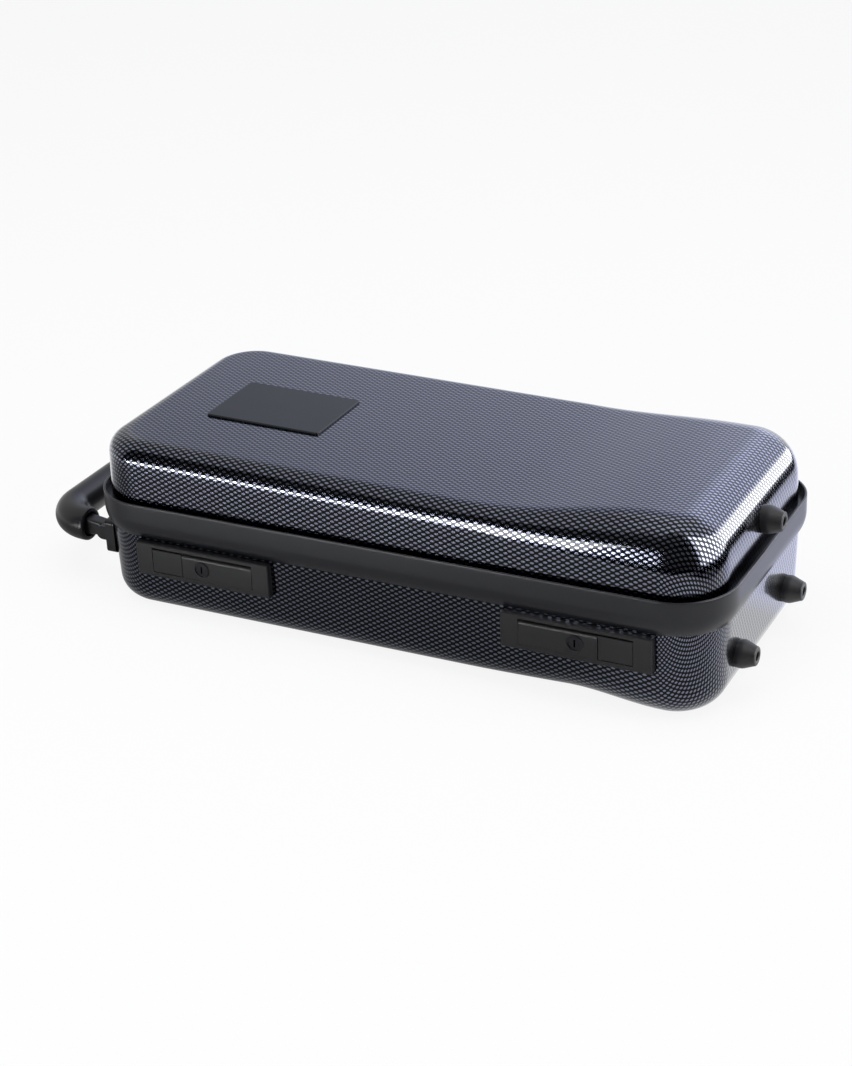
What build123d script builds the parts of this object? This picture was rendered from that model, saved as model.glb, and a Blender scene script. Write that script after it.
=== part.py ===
from build123d import *
import math
import os

# A hard clarinet case lying flat, in millimetres: the length runs along X with the bell end at +X,
# the latches are on the -Y side and the hinges on the +Y side, and +Z is up.
# The origin is the centre of the flat underside.

# Outline of the closed case, over the rim band
CASE_LENGTH = 450.0
CASE_WIDTH = 206.0
CORNER_RADIUS = 40.0

# Heights of the mouldings
BAND_TOP = 81.0
BAND_HEIGHT = 24.5
LIP_DEPTH = 6.0
LID_TOP_LEFT = 120.0
LID_TOP_WAIST = 116.5
LID_TOP_BELL = 124.0
BELL_DROP = 6.5

# Where the bell hump starts and where it is fully grown, measured from the bell end
LID_HUMP_RUN = 153.0
LID_HUMP_CREST = 49.0
BASE_HUMP_RUN = 103.0
BASE_HUMP_CREST = 41.0
WAIST_RUN = 175.0
HUMP_SECTIONS = 10

# Walls of the mouldings
WALL = 3.0
WALL_DRAFT = 2.0
BASE_INSET = 4.5
LID_INSET = 5.5
LID_EDGE_ROUND = 14.0
LID_BELL_ROUND = 30.0
BASE_EDGE_ROUND = 17.0
BASE_BELL_ROUND = 23.0
FIT = 0.1
SOFT_GAP = 0.3

# Rim band, drawn as distances in from its outer face
LIP_THICKNESS = 1.7
BAND_FOOT_INSET = 4.0
BAND_SKIRT_INSET = 10.0
BAND_SKIRT_DEPTH = 13.0
BAND_FLOOR = 3.0
BAND_STRAIGHT = 12.0
SEAL_WIDTH = 2.0
SEAL_DEPTH = 1.4

# Lid rim inside the lid's edge
LID_RIM_THICKNESS = 2.9
LID_RIM_HEIGHT = 9.5
LID_RIM_RISE = 1.5

# Latches, measured from each latch's own centre
LATCH_END_DISTANCE = 91.5
LATCH_Z = 42.0
PLATE_LENGTH = 101.0
PLATE_HEIGHT = 24.0
PLATE_DEPTH = 9.0
PLATE_BEVEL = 0.6
LEVER_PROUD = 0.2
WINDOW_LENGTH = 76.6
WINDOW_HEIGHT = 17.4
WINDOW_HEADROOM = 0.9
LATCH_GAP = 0.3
BUTTON_LENGTH = 22.8
LEVER_THICKNESS = 3.0
LEVER_TOP_ROUND = 2.5
PIVOT_DEPTH = 3.8
PIVOT_DROP = 2.2
PIN_RADIUS = 1.0
PIN_GRIP = 4.0
BARREL_RADIUS = 5.8
BARREL_HEAD = 1.5
BARREL_NECK_RADIUS = 4.6
BARREL_PROUD = 0.9
BARREL_BEVEL = 0.5
BARREL_RING = 1.4
BARREL_DISH = 0.6
KEY_SLOT_WIDTH = 1.2
KEY_SLOT_HEIGHT = 5.2
KEY_SLOT_DEPTH = 3.2
CAM_REACH = 7.0
CAM_THICKNESS = 1.4
CAM_HEIGHT = 5.0
CAM_GAP = 0.2
BUTTON_SKIN = 1.6
BUTTON_BEVEL = 0.4
STEM_RADIUS = 3.2
STEM_DROP = 1.0
STEM_TAIL = 1.5
COLLAR_STEP = 1.2
SPRING_WIRE = 0.8
SPRING_TURNS = 5
SPRING_GAP = 0.3
HOUSING_WALL = 1.5
HOUSING_LENGTH = 82.0
HOUSING_REACH = 26.5
HOUSING_LOW = 29.0
HOUSING_TOP_DROP = 2.0
PLATE_SCREW_X = 45.5
PLATE_SCREW_Z = 7.0
PLATE_SCREW_BITE = 2.2

# Steel hook on each lever and the keeper that it holds
HOOK_OFFSET = 22.0
HOOK_WIDTH = 12.0
HOOK_STRIP = 1.5
HOOK_LIMB_INSET = 16.5
HOOK_TOP = 64.0
HOOK_FOOT_RISE = 2.0
NOSE_TIP_INSET = 10.3
KEEPER_WIDTH = 20.0
KEEPER_STRIP = 1.5
KEEPER_LOW = 57.5
KEEPER_SLOT_LOW = 60.6
KEEPER_SLOT_HIGH = 65.0
KEEPER_SLOT_SIDE = 0.6
KEEPER_SCREW_X = 5.0
KEEPER_NOTCH_SIDE = 2.0
KEEPER_NOTCH_DEPTH = 1.4

# Hinges at the back
HINGE_END_DISTANCE = 95.0
HINGE_WIDTH = 46.0
HINGE_OUT = 5.0
HINGE_RISE = 4.0
KNUCKLE_RADIUS = 3.5
HINGE_PIN_RADIUS = 1.5
LEAF_THICKNESS = 2.0
LEAF_LOW = 62.0
LID_LEAF_HEIGHT = 13.0
LID_LEAF_DEPTH = 6.0
LEAF_OVERLAP = 2.0
KNUCKLES = 5
KNUCKLE_GAP = 0.3
KNUCKLE_CLEARANCE = 0.5
HINGE_PIN_EXTRA = 1.0
HINGE_SCREW_SPREAD = 15.0
HINGE_SCREW_PITCH = 11.0
LEAF_SCREW_Z = 67.0
LID_SCREW_LOW = 2.6
LID_SCREW_HIGH = 9.0

# Handle on the left end wall
HANDLE_Z = 41.5
HANDLE_SIDE_DISTANCE = 33.0
GRIP_RADIUS = 11.75
GRIP_REACH = 42.0
GRIP_BEND = 24.0
GRIP_LIP = 3.0
GRIP_EDGE = 2.0
GRIP_RIM = 3.0
GRIP_DISH = 6.0
CORE_RADIUS = 4.5
CORE_START = 4.0
ARM_WIDTH = 10.0
ARM_HEIGHT = 14.0
ARM_ROOT = 5.0
ARM_CORNER = 2.0
EYE_RADIUS = 5.0
BRACKET_PLATE = 2.5
BRACKET_LENGTH = 26.0
BRACKET_HEIGHT = 24.0
BRACKET_DEPTH = 7.0
BRACKET_TAIL = 3.0
BRACKET_CORNER = 3.0
EAR_THICKNESS = 3.5
EAR_GAP = 0.5
HANDLE_PIN_RADIUS = 2.0
BACKING_THICKNESS = 2.0
BACKING_WIDTH = 14.0
BRACKET_SCREW_Z = 8.5

# Rubber feet on the right end wall
FOOT_PROUD = 7.0
FOOT_LENGTH = 23.0
FOOT_TAPER = 0.8
FOOT_EDGE = 1.2
FOOT_BASE_RADIUS = 9.25
FOOT_TIP_RADIUS = 6.4
FOOT_BORE = 3.2
FOOT_SCREW_DEPTH = 8.0
BASE_FOOT_SIDE_DISTANCE = 56.5
BASE_FOOT_Z = 24.0
LID_FOOT_Z = 95.5

# Badge plate on the lid
BADGE_END_DISTANCE = 103.0
BADGE_Y = -2.0
BADGE_LENGTH = 86.0
BADGE_WIDTH = 61.0
BADGE_THICKNESS = 1.6
BADGE_CORNER = 2.0
BADGE_BEVEL = 0.7

# Screws
SCREW_RADIUS = 1.4
SCREW_HEAD_RADIUS = 2.8
SCREW_HEAD_HEIGHT = 1.3

# Foam in the base and in the lid
INSERT_TOP = 70.0
PAD_LOW = 88.0
JOINT_DEPTH = 62.0
LOWER_JOINT_SIDE_DISTANCE = 61.0
LOWER_JOINT_RADIUS = 24.0
LOWER_JOINT_LENGTH = 270.0
UPPER_JOINT_Y = 14.0
UPPER_JOINT_RADIUS = 22.0
UPPER_JOINT_LENGTH = 232.0
HOLLOW_END_DISTANCE = 22.0
SMALL_POCKET_SIDE_DISTANCE = 37.0
SMALL_POCKET_WIDTH = 40.0
MOUTHPIECE_LENGTH = 95.0
BARREL_LENGTH = 72.0
TRAY_LENGTH = 116.0
SMALL_POCKET_GAP = 8.0
SMALL_POCKET_FLOOR = 28.0
POCKET_CORNER = 8.0
BELL_END_DISTANCE = 67.0
BELL_Y = -7.0
BELL_Z = 56.0
BELL_LENGTH = 116.0
BELL_MOUTH_RADIUS = 44.0
BELL_NECK_RADIUS = 27.0

# Worked out from the sizes above
HALF_LENGTH = CASE_LENGTH / 2
HALF_WIDTH = CASE_WIDTH / 2
STRAIGHT_X = HALF_LENGTH - CORNER_RADIUS
LID_HUMP_START = HALF_LENGTH - LID_HUMP_RUN
LID_HUMP_END = HALF_LENGTH - LID_HUMP_CREST
BASE_HUMP_START = HALF_LENGTH - BASE_HUMP_RUN
BASE_HUMP_END = HALF_LENGTH - BASE_HUMP_CREST
WAIST_X = HALF_LENGTH - WAIST_RUN
LATCH_X = HALF_LENGTH - LATCH_END_DISTANCE
HINGE_X = HALF_LENGTH - HINGE_END_DISTANCE
HANDLE_SPREAD = HALF_WIDTH - HANDLE_SIDE_DISTANCE
FOOT_TIP_X = HALF_LENGTH + FOOT_PROUD
BASE_FOOT_Y = HALF_WIDTH - BASE_FOOT_SIDE_DISTANCE
BADGE_X = BADGE_END_DISTANCE - HALF_LENGTH
HOLLOW_START_X = HOLLOW_END_DISTANCE - HALF_LENGTH
LOWER_JOINT_Y = LOWER_JOINT_SIDE_DISTANCE - HALF_WIDTH
SMALL_POCKET_Y = HALF_WIDTH - SMALL_POCKET_SIDE_DISTANCE
BELL_X = HALF_LENGTH - BELL_END_DISTANCE
BAND_LOW = BAND_TOP - BAND_HEIGHT
LEDGE = BAND_TOP - LIP_DEPTH
LID_OPEN = LEDGE + SOFT_GAP
DRAFT = math.tan(math.radians(WALL_DRAFT))
PLATE_FACE = HALF_WIDTH
LEVER_FACE = -(PLATE_FACE + LEVER_PROUD)
WINDOW_LOW = LATCH_Z - (WINDOW_HEIGHT - LATCH_GAP) / 2
WINDOW_HIGH = WINDOW_LOW + WINDOW_HEIGHT + WINDOW_HEADROOM - LATCH_GAP
LEVER_LOW = WINDOW_LOW + LATCH_GAP
LEVER_HIGH = WINDOW_HIGH - WINDOW_HEADROOM - LATCH_GAP
PIVOT_Y = LEVER_FACE + PIVOT_DEPTH
PIVOT_Z = LEVER_HIGH - PIVOT_DROP
LEVER_BACK = LEVER_FACE + LEVER_THICKNESS
LEVER_START = LATCH_X - WINDOW_LENGTH / 2 + LATCH_GAP
BUTTON_END = LATCH_X + WINDOW_LENGTH / 2 - LATCH_GAP
BUTTON_START = BUTTON_END - BUTTON_LENGTH
LEVER_END = BUTTON_START - LATCH_GAP
BUTTON_X = (BUTTON_START + BUTTON_END) / 2
STEM_Z = LATCH_Z - STEM_DROP
HOUSING_FRONT = -(HALF_WIDTH - BAND_SKIRT_INSET) + FIT
HOUSING_BACK = -(HALF_WIDTH - HOUSING_REACH)
HOOK_X = LATCH_X - HOOK_OFFSET
KEEPER_INSET = LID_INSET + WALL + FIT + LID_RIM_THICKNESS
LID_RIM_LOW = LEDGE + LID_RIM_RISE
LID_RIM_TOP = LID_RIM_LOW + LID_RIM_HEIGHT
HINGE_Y = HALF_WIDTH + HINGE_OUT
HINGE_Z = BAND_TOP + HINGE_RISE
KNUCKLE_PITCH = HINGE_WIDTH / KNUCKLES


def smooth(x, start, end):
    """An S-curve from 0 at start to 1 at end."""
    t = min(max((x - start) / (end - start), 0.0), 1.0)
    return t * t * (3.0 - 2.0 * t)


def lid_top(x):
    """Height of the lid's top: it falls a little to the waist and climbs over the bell."""
    fall = min(max((WAIST_X - x) / (WAIST_X + STRAIGHT_X), 0.0), 1.0)
    climb = smooth(x, LID_HUMP_START, LID_HUMP_END)
    return LID_TOP_WAIST + (LID_TOP_LEFT - LID_TOP_WAIST) * fall + (LID_TOP_BELL - LID_TOP_WAIST) * climb


def lid_round(x):
    """Rounding of the lid's upper edges, which widens over the bell."""
    return LID_EDGE_ROUND + (LID_BELL_ROUND - LID_EDGE_ROUND) * smooth(x, WAIST_X, STRAIGHT_X)


def base_floor(x):
    """Height of the underside, which sinks below the bell."""
    return -BELL_DROP * smooth(x, BASE_HUMP_START, BASE_HUMP_END)


def base_round(x):
    """Rounding of the base's lower edges."""
    return BASE_EDGE_ROUND + (BASE_BELL_ROUND - BASE_EDGE_ROUND) * smooth(x, WAIST_X, STRAIGHT_X)


def base_inset(z):
    """How far the base's outer wall stands in from the band's face at height z."""
    return BASE_INSET + (BAND_LOW - z) * DRAFT


def lid_inset(z):
    """How far the lid's outer wall stands in from the band's face at height z."""
    return LID_INSET + (z - LID_OPEN) * DRAFT


def block(x0, x1, y0, y1, z0, z1):
    """A box between two corners."""
    centre = Pos((x0 + x1) / 2, (y0 + y1) / 2, (z0 + z1) / 2)
    return centre * Box(abs(x1 - x0), abs(y1 - y0), abs(z1 - z0))


def rod(start, direction, radius, length):
    """A round bar from a start point along a direction."""
    plane = Plane(origin=start, z_dir=direction)
    return plane * Cylinder(radius, length, align=(Align.CENTER, Align.CENTER, Align.MIN))


def screw(seat, direction, length):
    """A pan-head screw: its head stands behind the seat and its shank runs along the direction."""
    back = Vector(*direction) * -SCREW_HEAD_HEIGHT
    head = rod(Vector(*seat) + back, direction, SCREW_HEAD_RADIUS, SCREW_HEAD_HEIGHT)
    return head + rod(seat, direction, SCREW_RADIUS, length)


def plan(inset, z):
    """The case's outline, drawn in from the band's outer face, at height z."""
    outline = RectangleRounded(CASE_LENGTH - 2 * inset, CASE_WIDTH - 2 * inset, CORNER_RADIUS - inset)
    return Plane.XY.offset(z) * outline


def prism(inset, low, high):
    """The case's outline carried straight up."""
    return extrude(plan(inset, low), high - low)


class Moulding:
    """A tray with drafted walls, a shaped closed face and rounded edges between them."""

    def __init__(self, inset, open_z, level, rounding, up):
        self.inset = inset
        self.open_z = open_z
        self.level = level
        self.rounding = rounding
        self.up = up

    def closed_z(self, x, skin):
        """Height of the closed face, drawn in by a skin."""
        return self.level(x) - self.up * skin

    def section(self, x, skin):
        """The cross-section at x."""
        closed = self.closed_z(x, skin)
        half_open = HALF_WIDTH - self.inset - skin
        half_closed = half_open - abs(closed - self.open_z) * DRAFT
        corners = [(-half_open, self.open_z), (half_open, self.open_z), (half_closed, closed)]
        face = make_face(Polyline(*corners, (-half_closed, closed), close=True))
        rounded = face.vertices().sort_by(Axis.Y)
        pair = rounded[-2:] if self.up > 0 else rounded[:2]
        plane = Plane(origin=(x, 0, 0), x_dir=(0, 1, 0), z_dir=(1, 0, 0))
        return plane * fillet(pair, self.rounding(x) - skin)

    def end(self, x, skin):
        """The rounded end beyond x."""
        closed = self.closed_z(x, skin)
        narrow = self.inset + skin + abs(closed - self.open_z) * DRAFT
        body = loft([plan(self.inset + skin, self.open_z), plan(narrow, closed)], ruled=True)
        faces = body.faces().sort_by(Axis.Z)
        rim = (faces[-1] if self.up > 0 else faces[0]).edges()
        body = fillet(rim, self.rounding(x) - skin)
        far = math.copysign(CASE_LENGTH, x)
        return body & block(x, far, -CASE_WIDTH, CASE_WIDTH, -CASE_WIDTH, 2 * CASE_WIDTH)

    def solid(self, skin):
        """The whole form, drawn in by a skin."""
        straight = loft([self.section(x, skin) for x in (-STRAIGHT_X, WAIST_X)], ruled=True)
        step = (STRAIGHT_X - WAIST_X) / (HUMP_SECTIONS - 1)
        hump = loft([self.section(WAIST_X + k * step, skin) for k in range(HUMP_SECTIONS)])
        body = self.end(-STRAIGHT_X, skin) + straight
        body = body + hump
        return body + self.end(STRAIGHT_X, skin)


LID_FORM = Moulding(LID_INSET, LID_OPEN, lid_top, lid_round, 1)
BASE_FORM = Moulding(BASE_INSET, BAND_LOW, base_floor, base_round, -1)


def ring(profile):
    """Carry a profile, drawn as distance in and height, once round the case's outline."""
    start = Plane(origin=(0, -HALF_WIDTH, 0), x_dir=(0, 1, 0), z_dir=(1, 0, 0))
    a, b = STRAIGHT_X, HALF_WIDTH - CORNER_RADIUS
    runs = [((0, -HALF_WIDTH), (a, -HALF_WIDTH)), ((HALF_LENGTH, -b), (HALF_LENGTH, b)),
            ((a, HALF_WIDTH), (-a, HALF_WIDTH)), ((-HALF_LENGTH, b), (-HALF_LENGTH, -b)),
            ((-a, -HALF_WIDTH), (0, -HALF_WIDTH))]
    bends = [((a, -b), 270), ((a, b), 0), ((-a, b), 90), ((-a, -b), 180)]
    edges = [Line(*run) for run in runs]
    edges += [CenterArc(centre, CORNER_RADIUS, angle, 90) for centre, angle in bends]
    path = Wire(edges)
    return sweep(start * profile, path)


def band_profile():
    """Section of the rim band: lip, ledge with the seal's groove, skirt, and the socket for the wall."""
    socket_out = BASE_INSET - FIT
    socket_in = BASE_INSET + WALL + FIT
    groove_out = LID_INSET + (WALL - SEAL_WIDTH) / 2 - FIT
    groove_in = groove_out + SEAL_WIDTH + 2 * FIT
    corner = LIP_THICKNESS / 3
    foot = TangentArc((0, BAND_TOP - BAND_STRAIGHT), (BAND_FOOT_INSET, BAND_LOW), tangent=(0, -1))
    rest = Polyline(
        (BAND_FOOT_INSET, BAND_LOW), (socket_out, BAND_LOW), (socket_out, LEDGE - BAND_FLOOR),
        (socket_in, LEDGE - BAND_FLOOR), (socket_in, LEDGE - BAND_SKIRT_DEPTH),
        (BAND_SKIRT_INSET, LEDGE - BAND_SKIRT_DEPTH), (BAND_SKIRT_INSET, LEDGE),
        (groove_in, LEDGE), (groove_in, LEDGE - SEAL_DEPTH), (groove_out, LEDGE - SEAL_DEPTH),
        (groove_out, LEDGE), (LIP_THICKNESS, LEDGE), (LIP_THICKNESS, BAND_TOP - corner),
        (LIP_THICKNESS - corner, BAND_TOP), (corner, BAND_TOP), (0, BAND_TOP - corner),
        (0, BAND_TOP - BAND_STRAIGHT))
    return make_face([foot.edge(), *rest.edges()])


def band_rect(out, inn, low, high):
    """A rectangle of a ring's section."""
    return make_face(Polyline((out, low), (inn, low), (inn, high), (out, high), close=True))


def both_sides(shape):
    """A right-hand piece and its mirror image on the left."""
    return {"right": shape, "left": mirror(shape, about=Plane.YZ)}


def at_both(shape):
    """A right-hand cutter together with its mirror image."""
    return shape + mirror(shape, about=Plane.YZ)


# Latch pieces, made for the right-hand latch

def latch_window(front, back):
    """The opening in the plate and in the wall behind it."""
    x0 = LATCH_X - WINDOW_LENGTH / 2
    return block(x0, x0 + WINDOW_LENGTH, front, back, WINDOW_LOW, WINDOW_HIGH)


def lever_pin():
    """The steel pin that the lever turns on."""
    start = LATCH_X - WINDOW_LENGTH / 2 - PIN_GRIP
    return rod((start, PIVOT_Y, PIVOT_Z), (1, 0, 0), PIN_RADIUS, WINDOW_LENGTH + 2 * PIN_GRIP)


def plate_screws():
    """Four screws through the wall into the plate, with their heads inside."""
    screws = []
    for dx in (-PLATE_SCREW_X, PLATE_SCREW_X):
        for dz in (-PLATE_SCREW_Z, PLATE_SCREW_Z):
            z = LATCH_Z + dz
            seat = -(HALF_WIDTH - base_inset(z) - WALL) + FIT
            screws.append(screw((LATCH_X + dx, seat, z), (0, -1, 0), WALL + FIT + PLATE_SCREW_BITE))
    return screws


def latch_plate(base_outer):
    """The plate on the front wall, with the window for the lever and the button."""
    low, high = LATCH_Z - PLATE_HEIGHT / 2, LATCH_Z + PLATE_HEIGHT / 2
    x0 = LATCH_X - PLATE_LENGTH / 2
    body = block(x0, x0 + PLATE_LENGTH, -PLATE_FACE, -(PLATE_FACE - PLATE_DEPTH), low, high)
    body = chamfer(body.faces().sort_by(Axis.Y)[0].edges(), PLATE_BEVEL)
    body = body - base_outer - latch_window(-PLATE_FACE - 1, 0) - lever_pin()
    for fixing in plate_screws():
        body = body - fixing
    return body


def latch_lever():
    """The lever: a plate with a rounded top edge and a hinge boss along its back."""
    body = block(LEVER_START, LEVER_END, LEVER_FACE, LEVER_BACK, LEVER_LOW, LEVER_HIGH)
    top = body.edges().filter_by(Axis.X).sort_by(Axis.Z)[-2:].sort_by(Axis.Y)[0]
    body = fillet(top, LEVER_TOP_ROUND)
    boss = rod((LEVER_START, PIVOT_Y, PIVOT_Z), (1, 0, 0), PIVOT_DROP, LEVER_END - LEVER_START)
    hole = rod((LEVER_START - 1, PIVOT_Y, PIVOT_Z), (1, 0, 0), PIN_RADIUS + FIT / 2, PLATE_LENGTH)
    seat = rod((LATCH_X, LEVER_FACE - 1, LATCH_Z), (0, 1, 0), BARREL_RADIUS + FIT / 2, BARREL_HEAD + 1)
    neck = rod((LATCH_X, LEVER_FACE - 1, LATCH_Z), (0, 1, 0), BARREL_NECK_RADIUS + FIT / 2, 20)
    return body + boss - hole - seat - neck


def lock_barrel():
    """The lock's turning barrel, with a ring, a key slot and a cam behind the lever."""
    front = LEVER_FACE - BARREL_PROUD
    cam_start = PIVOT_Y + PIVOT_DROP + CAM_GAP
    body = rod((LATCH_X, front, LATCH_Z), (0, 1, 0), BARREL_RADIUS, BARREL_PROUD + BARREL_HEAD)
    neck = rod((LATCH_X, front, LATCH_Z), (0, 1, 0), BARREL_NECK_RADIUS, cam_start - front)
    body = chamfer(body.edges().sort_by(Axis.Y)[0], BARREL_BEVEL)
    dish = rod((LATCH_X, front - 1, LATCH_Z), (0, 1, 0), BARREL_RADIUS - BARREL_RING, BARREL_DISH + 1)
    slot = block(-KEY_SLOT_WIDTH / 2, KEY_SLOT_WIDTH / 2, front - 1, front + KEY_SLOT_DEPTH,
                 LATCH_Z - KEY_SLOT_HEIGHT / 2, LATCH_Z + KEY_SLOT_HEIGHT / 2)
    slot = Pos(LATCH_X, 0, 0) * slot
    cam = block(LATCH_X - CAM_REACH, LATCH_X + CAM_REACH, cam_start, cam_start + CAM_THICKNESS,
                LATCH_Z - CAM_HEIGHT / 2, LATCH_Z + CAM_HEIGHT / 2)
    return body + neck - dish - slot + cam


def latch_hook():
    """The steel hook on the lever's back, whose nose holds the keeper."""
    x0, x1 = HOOK_X - HOOK_WIDTH / 2, HOOK_X + HOOK_WIDTH / 2
    limb_y = -(HALF_WIDTH - HOOK_LIMB_INSET)
    limb_z = PIVOT_Z - PIVOT_DROP - FIT
    foot = block(x0, x1, LEVER_BACK, LEVER_BACK + HOOK_STRIP, LEVER_LOW + HOOK_FOOT_RISE, limb_z)
    reach = block(x0, x1, LEVER_BACK, limb_y, limb_z - HOOK_STRIP, limb_z)
    limb = block(x0, x1, limb_y - HOOK_STRIP, limb_y, limb_z - HOOK_STRIP, HOOK_TOP)
    tip = -(HALF_WIDTH - NOSE_TIP_INSET)
    nose = block(x0, x1, tip, limb_y, HOOK_TOP - HOOK_STRIP, HOOK_TOP)
    return foot + reach + limb + nose


def latch_button():
    """The push button: a front skin on a stem with a collar behind the housing's guide."""
    skin = block(BUTTON_START, BUTTON_END, LEVER_FACE, LEVER_FACE + BUTTON_SKIN, LEVER_LOW, LEVER_HIGH)
    skin = chamfer(skin.faces().sort_by(Axis.Y)[0].edges(), BUTTON_BEVEL)
    guide_back = HOUSING_FRONT + HOUSING_WALL
    stem = rod((BUTTON_X, LEVER_FACE + BUTTON_SKIN, STEM_Z), (0, 1, 0), STEM_RADIUS,
               guide_back + STEM_TAIL - LEVER_FACE - BUTTON_SKIN)
    collar_y = guide_back + LATCH_GAP
    collar = rod((BUTTON_X, collar_y, STEM_Z), (0, 1, 0), STEM_RADIUS + COLLAR_STEP, COLLAR_STEP)
    return skin + stem + collar


def latch_spring():
    """The coil spring round the button's stem."""
    start = LEVER_FACE + BUTTON_SKIN + FIT + SPRING_WIRE / 2
    length = HOUSING_FRONT - FIT - SPRING_WIRE / 2 - start
    radius = STEM_RADIUS + SPRING_GAP + SPRING_WIRE / 2
    plane = Plane(origin=(BUTTON_X, start, STEM_Z), x_dir=(1, 0, 0), z_dir=(0, 1, 0))
    path = plane * Helix(length / SPRING_TURNS, length, radius)
    wire_plane = Plane(origin=path @ 0, z_dir=path % 0)
    return sweep(wire_plane * Circle(SPRING_WIRE / 2), path, is_frenet=True)


def latch_housing():
    """The tray behind the wall that keeps the foam clear of the hook, with the button's guide."""
    x0, x1 = LATCH_X - HOUSING_LENGTH / 2, LATCH_X + HOUSING_LENGTH / 2
    top = INSERT_TOP - HOUSING_TOP_DROP
    outer = block(x0, x1, HOUSING_FRONT, HOUSING_BACK, HOUSING_LOW, top)
    inner = block(x0 + HOUSING_WALL, x1 - HOUSING_WALL, HOUSING_FRONT - 1, HOUSING_BACK - HOUSING_WALL,
                  HOUSING_LOW + HOUSING_WALL, top + 1)
    guide = block(BUTTON_START, x1, HOUSING_FRONT, HOUSING_FRONT + HOUSING_WALL, HOUSING_LOW, WINDOW_HIGH)
    hole = rod((BUTTON_X, HOUSING_FRONT - 1, STEM_Z), (0, 1, 0), STEM_RADIUS + FIT, 5)
    return outer - inner + (guide - hole)


def latch_keeper():
    """The steel keeper that hangs from the lid's rim into the base."""
    y0 = -(HALF_WIDTH - KEEPER_INSET)
    body = block(HOOK_X - KEEPER_WIDTH / 2, HOOK_X + KEEPER_WIDTH / 2, y0, y0 + KEEPER_STRIP,
                 KEEPER_LOW, LID_RIM_TOP)
    half = HOOK_WIDTH / 2 + KEEPER_SLOT_SIDE
    slot = block(HOOK_X - half, HOOK_X + half, y0 - 1, y0 + 3, KEEPER_SLOT_LOW, KEEPER_SLOT_HIGH)
    for fixing in keeper_screws():
        body = body - fixing
    return body - slot


def keeper_screws():
    """Two screws that hold the keeper to the lid's rim."""
    seat = -(HALF_WIDTH - KEEPER_INSET - KEEPER_STRIP)
    z = (LID_RIM_LOW + LID_RIM_TOP) / 2
    length = KEEPER_STRIP + LID_RIM_THICKNESS - SOFT_GAP
    return [screw((HOOK_X + dx, seat, z), (0, -1, 0), length) for dx in (-KEEPER_SCREW_X, KEEPER_SCREW_X)]


# Hinge pieces, made for the right-hand hinge

def knuckles(first, radius):
    """Every second knuckle of the hinge, as one shape."""
    shape = Part()
    x0 = HINGE_X - HINGE_WIDTH / 2
    for k in range(first, KNUCKLES, 2):
        start = x0 + k * KNUCKLE_PITCH + KNUCKLE_GAP / 2
        shape = shape + rod((start, HINGE_Y, HINGE_Z), (1, 0, 0), radius, KNUCKLE_PITCH - KNUCKLE_GAP)
    return shape


def hinge_bore(clearance):
    """The hole through the knuckles."""
    radius = HINGE_PIN_RADIUS + clearance
    return rod((HINGE_X - HINGE_WIDTH, HINGE_Y, HINGE_Z), (1, 0, 0), radius, 2 * HINGE_WIDTH)


def base_leaf_screws():
    """A row of four screws through the base leaf and the band into the shell's upper edge."""
    seat = HALF_WIDTH + LEAF_THICKNESS
    length = LEAF_THICKNESS + BASE_INSET + WALL - SOFT_GAP
    spots = [(HINGE_X + k * HINGE_SCREW_PITCH, seat, LEAF_SCREW_Z) for k in (-1.5, -0.5, 0.5, 1.5)]
    return [screw(spot, (0, -1, 0), length) for spot in spots]


def hinge_base_leaf():
    """The leaf on the band's back face, with three knuckles above the lip."""
    x0, x1 = HINGE_X - HINGE_WIDTH / 2, HINGE_X + HINGE_WIDTH / 2
    plate = block(x0, x1, HALF_WIDTH, HALF_WIDTH + LEAF_THICKNESS, LEAF_LOW, HINGE_Z)
    for k in range(1, KNUCKLES, 2):
        start = x0 + k * KNUCKLE_PITCH - KNUCKLE_GAP / 2
        notch = block(start, start + KNUCKLE_PITCH + KNUCKLE_GAP, HALF_WIDTH - 1, HINGE_Y,
                      HINGE_Z - KNUCKLE_RADIUS - KNUCKLE_CLEARANCE, HINGE_Z + HINGE_WIDTH)
        plate = plate - notch
    body = plate + knuckles(0, KNUCKLE_RADIUS) - hinge_bore(0.0)
    for fixing in base_leaf_screws():
        body = body - fixing
    return body


def lid_leaf_screws():
    """Four screws through the lid leaf, the lid's wall and the lid's rim."""
    screws = []
    for dx in (-HINGE_SCREW_SPREAD, HINGE_SCREW_SPREAD):
        for rise in (LID_SCREW_LOW, LID_SCREW_HIGH):
            z = HINGE_Z + rise
            seat = HALF_WIDTH - lid_inset(z) + LEAF_THICKNESS - FIT
            screws.append(screw((HINGE_X + dx, seat, z), (0, -1, 0), LEAF_THICKNESS + WALL - 2 * FIT))
    return screws


def hinge_lid_leaf():
    """The leaf on the lid's back wall, with two knuckles reached over the lip."""
    x0, x1 = HINGE_X - HINGE_WIDTH / 2, HINGE_X + HINGE_WIDTH / 2
    low = HINGE_Z - LEAF_THICKNESS / 2
    face = HALF_WIDTH - lid_inset(low) + LEAF_THICKNESS
    plate = block(x0, x1, face - LID_LEAF_DEPTH, face, low, low + LID_LEAF_HEIGHT)
    shelf = block(x0, x1, face - LEAF_OVERLAP, HALF_WIDTH - KNUCKLE_CLEARANCE, low, low + LEAF_THICKNESS)
    for k in range(1, KNUCKLES, 2):
        start = x0 + k * KNUCKLE_PITCH + KNUCKLE_GAP / 2
        shelf = shelf + block(start, start + KNUCKLE_PITCH - KNUCKLE_GAP, face - LEAF_OVERLAP, HINGE_Y,
                              low, low + LEAF_THICKNESS)
    body = plate + shelf + knuckles(1, KNUCKLE_RADIUS) - hinge_bore(FIT / 2)
    for fixing in lid_leaf_screws():
        body = body - fixing
    return body


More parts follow.
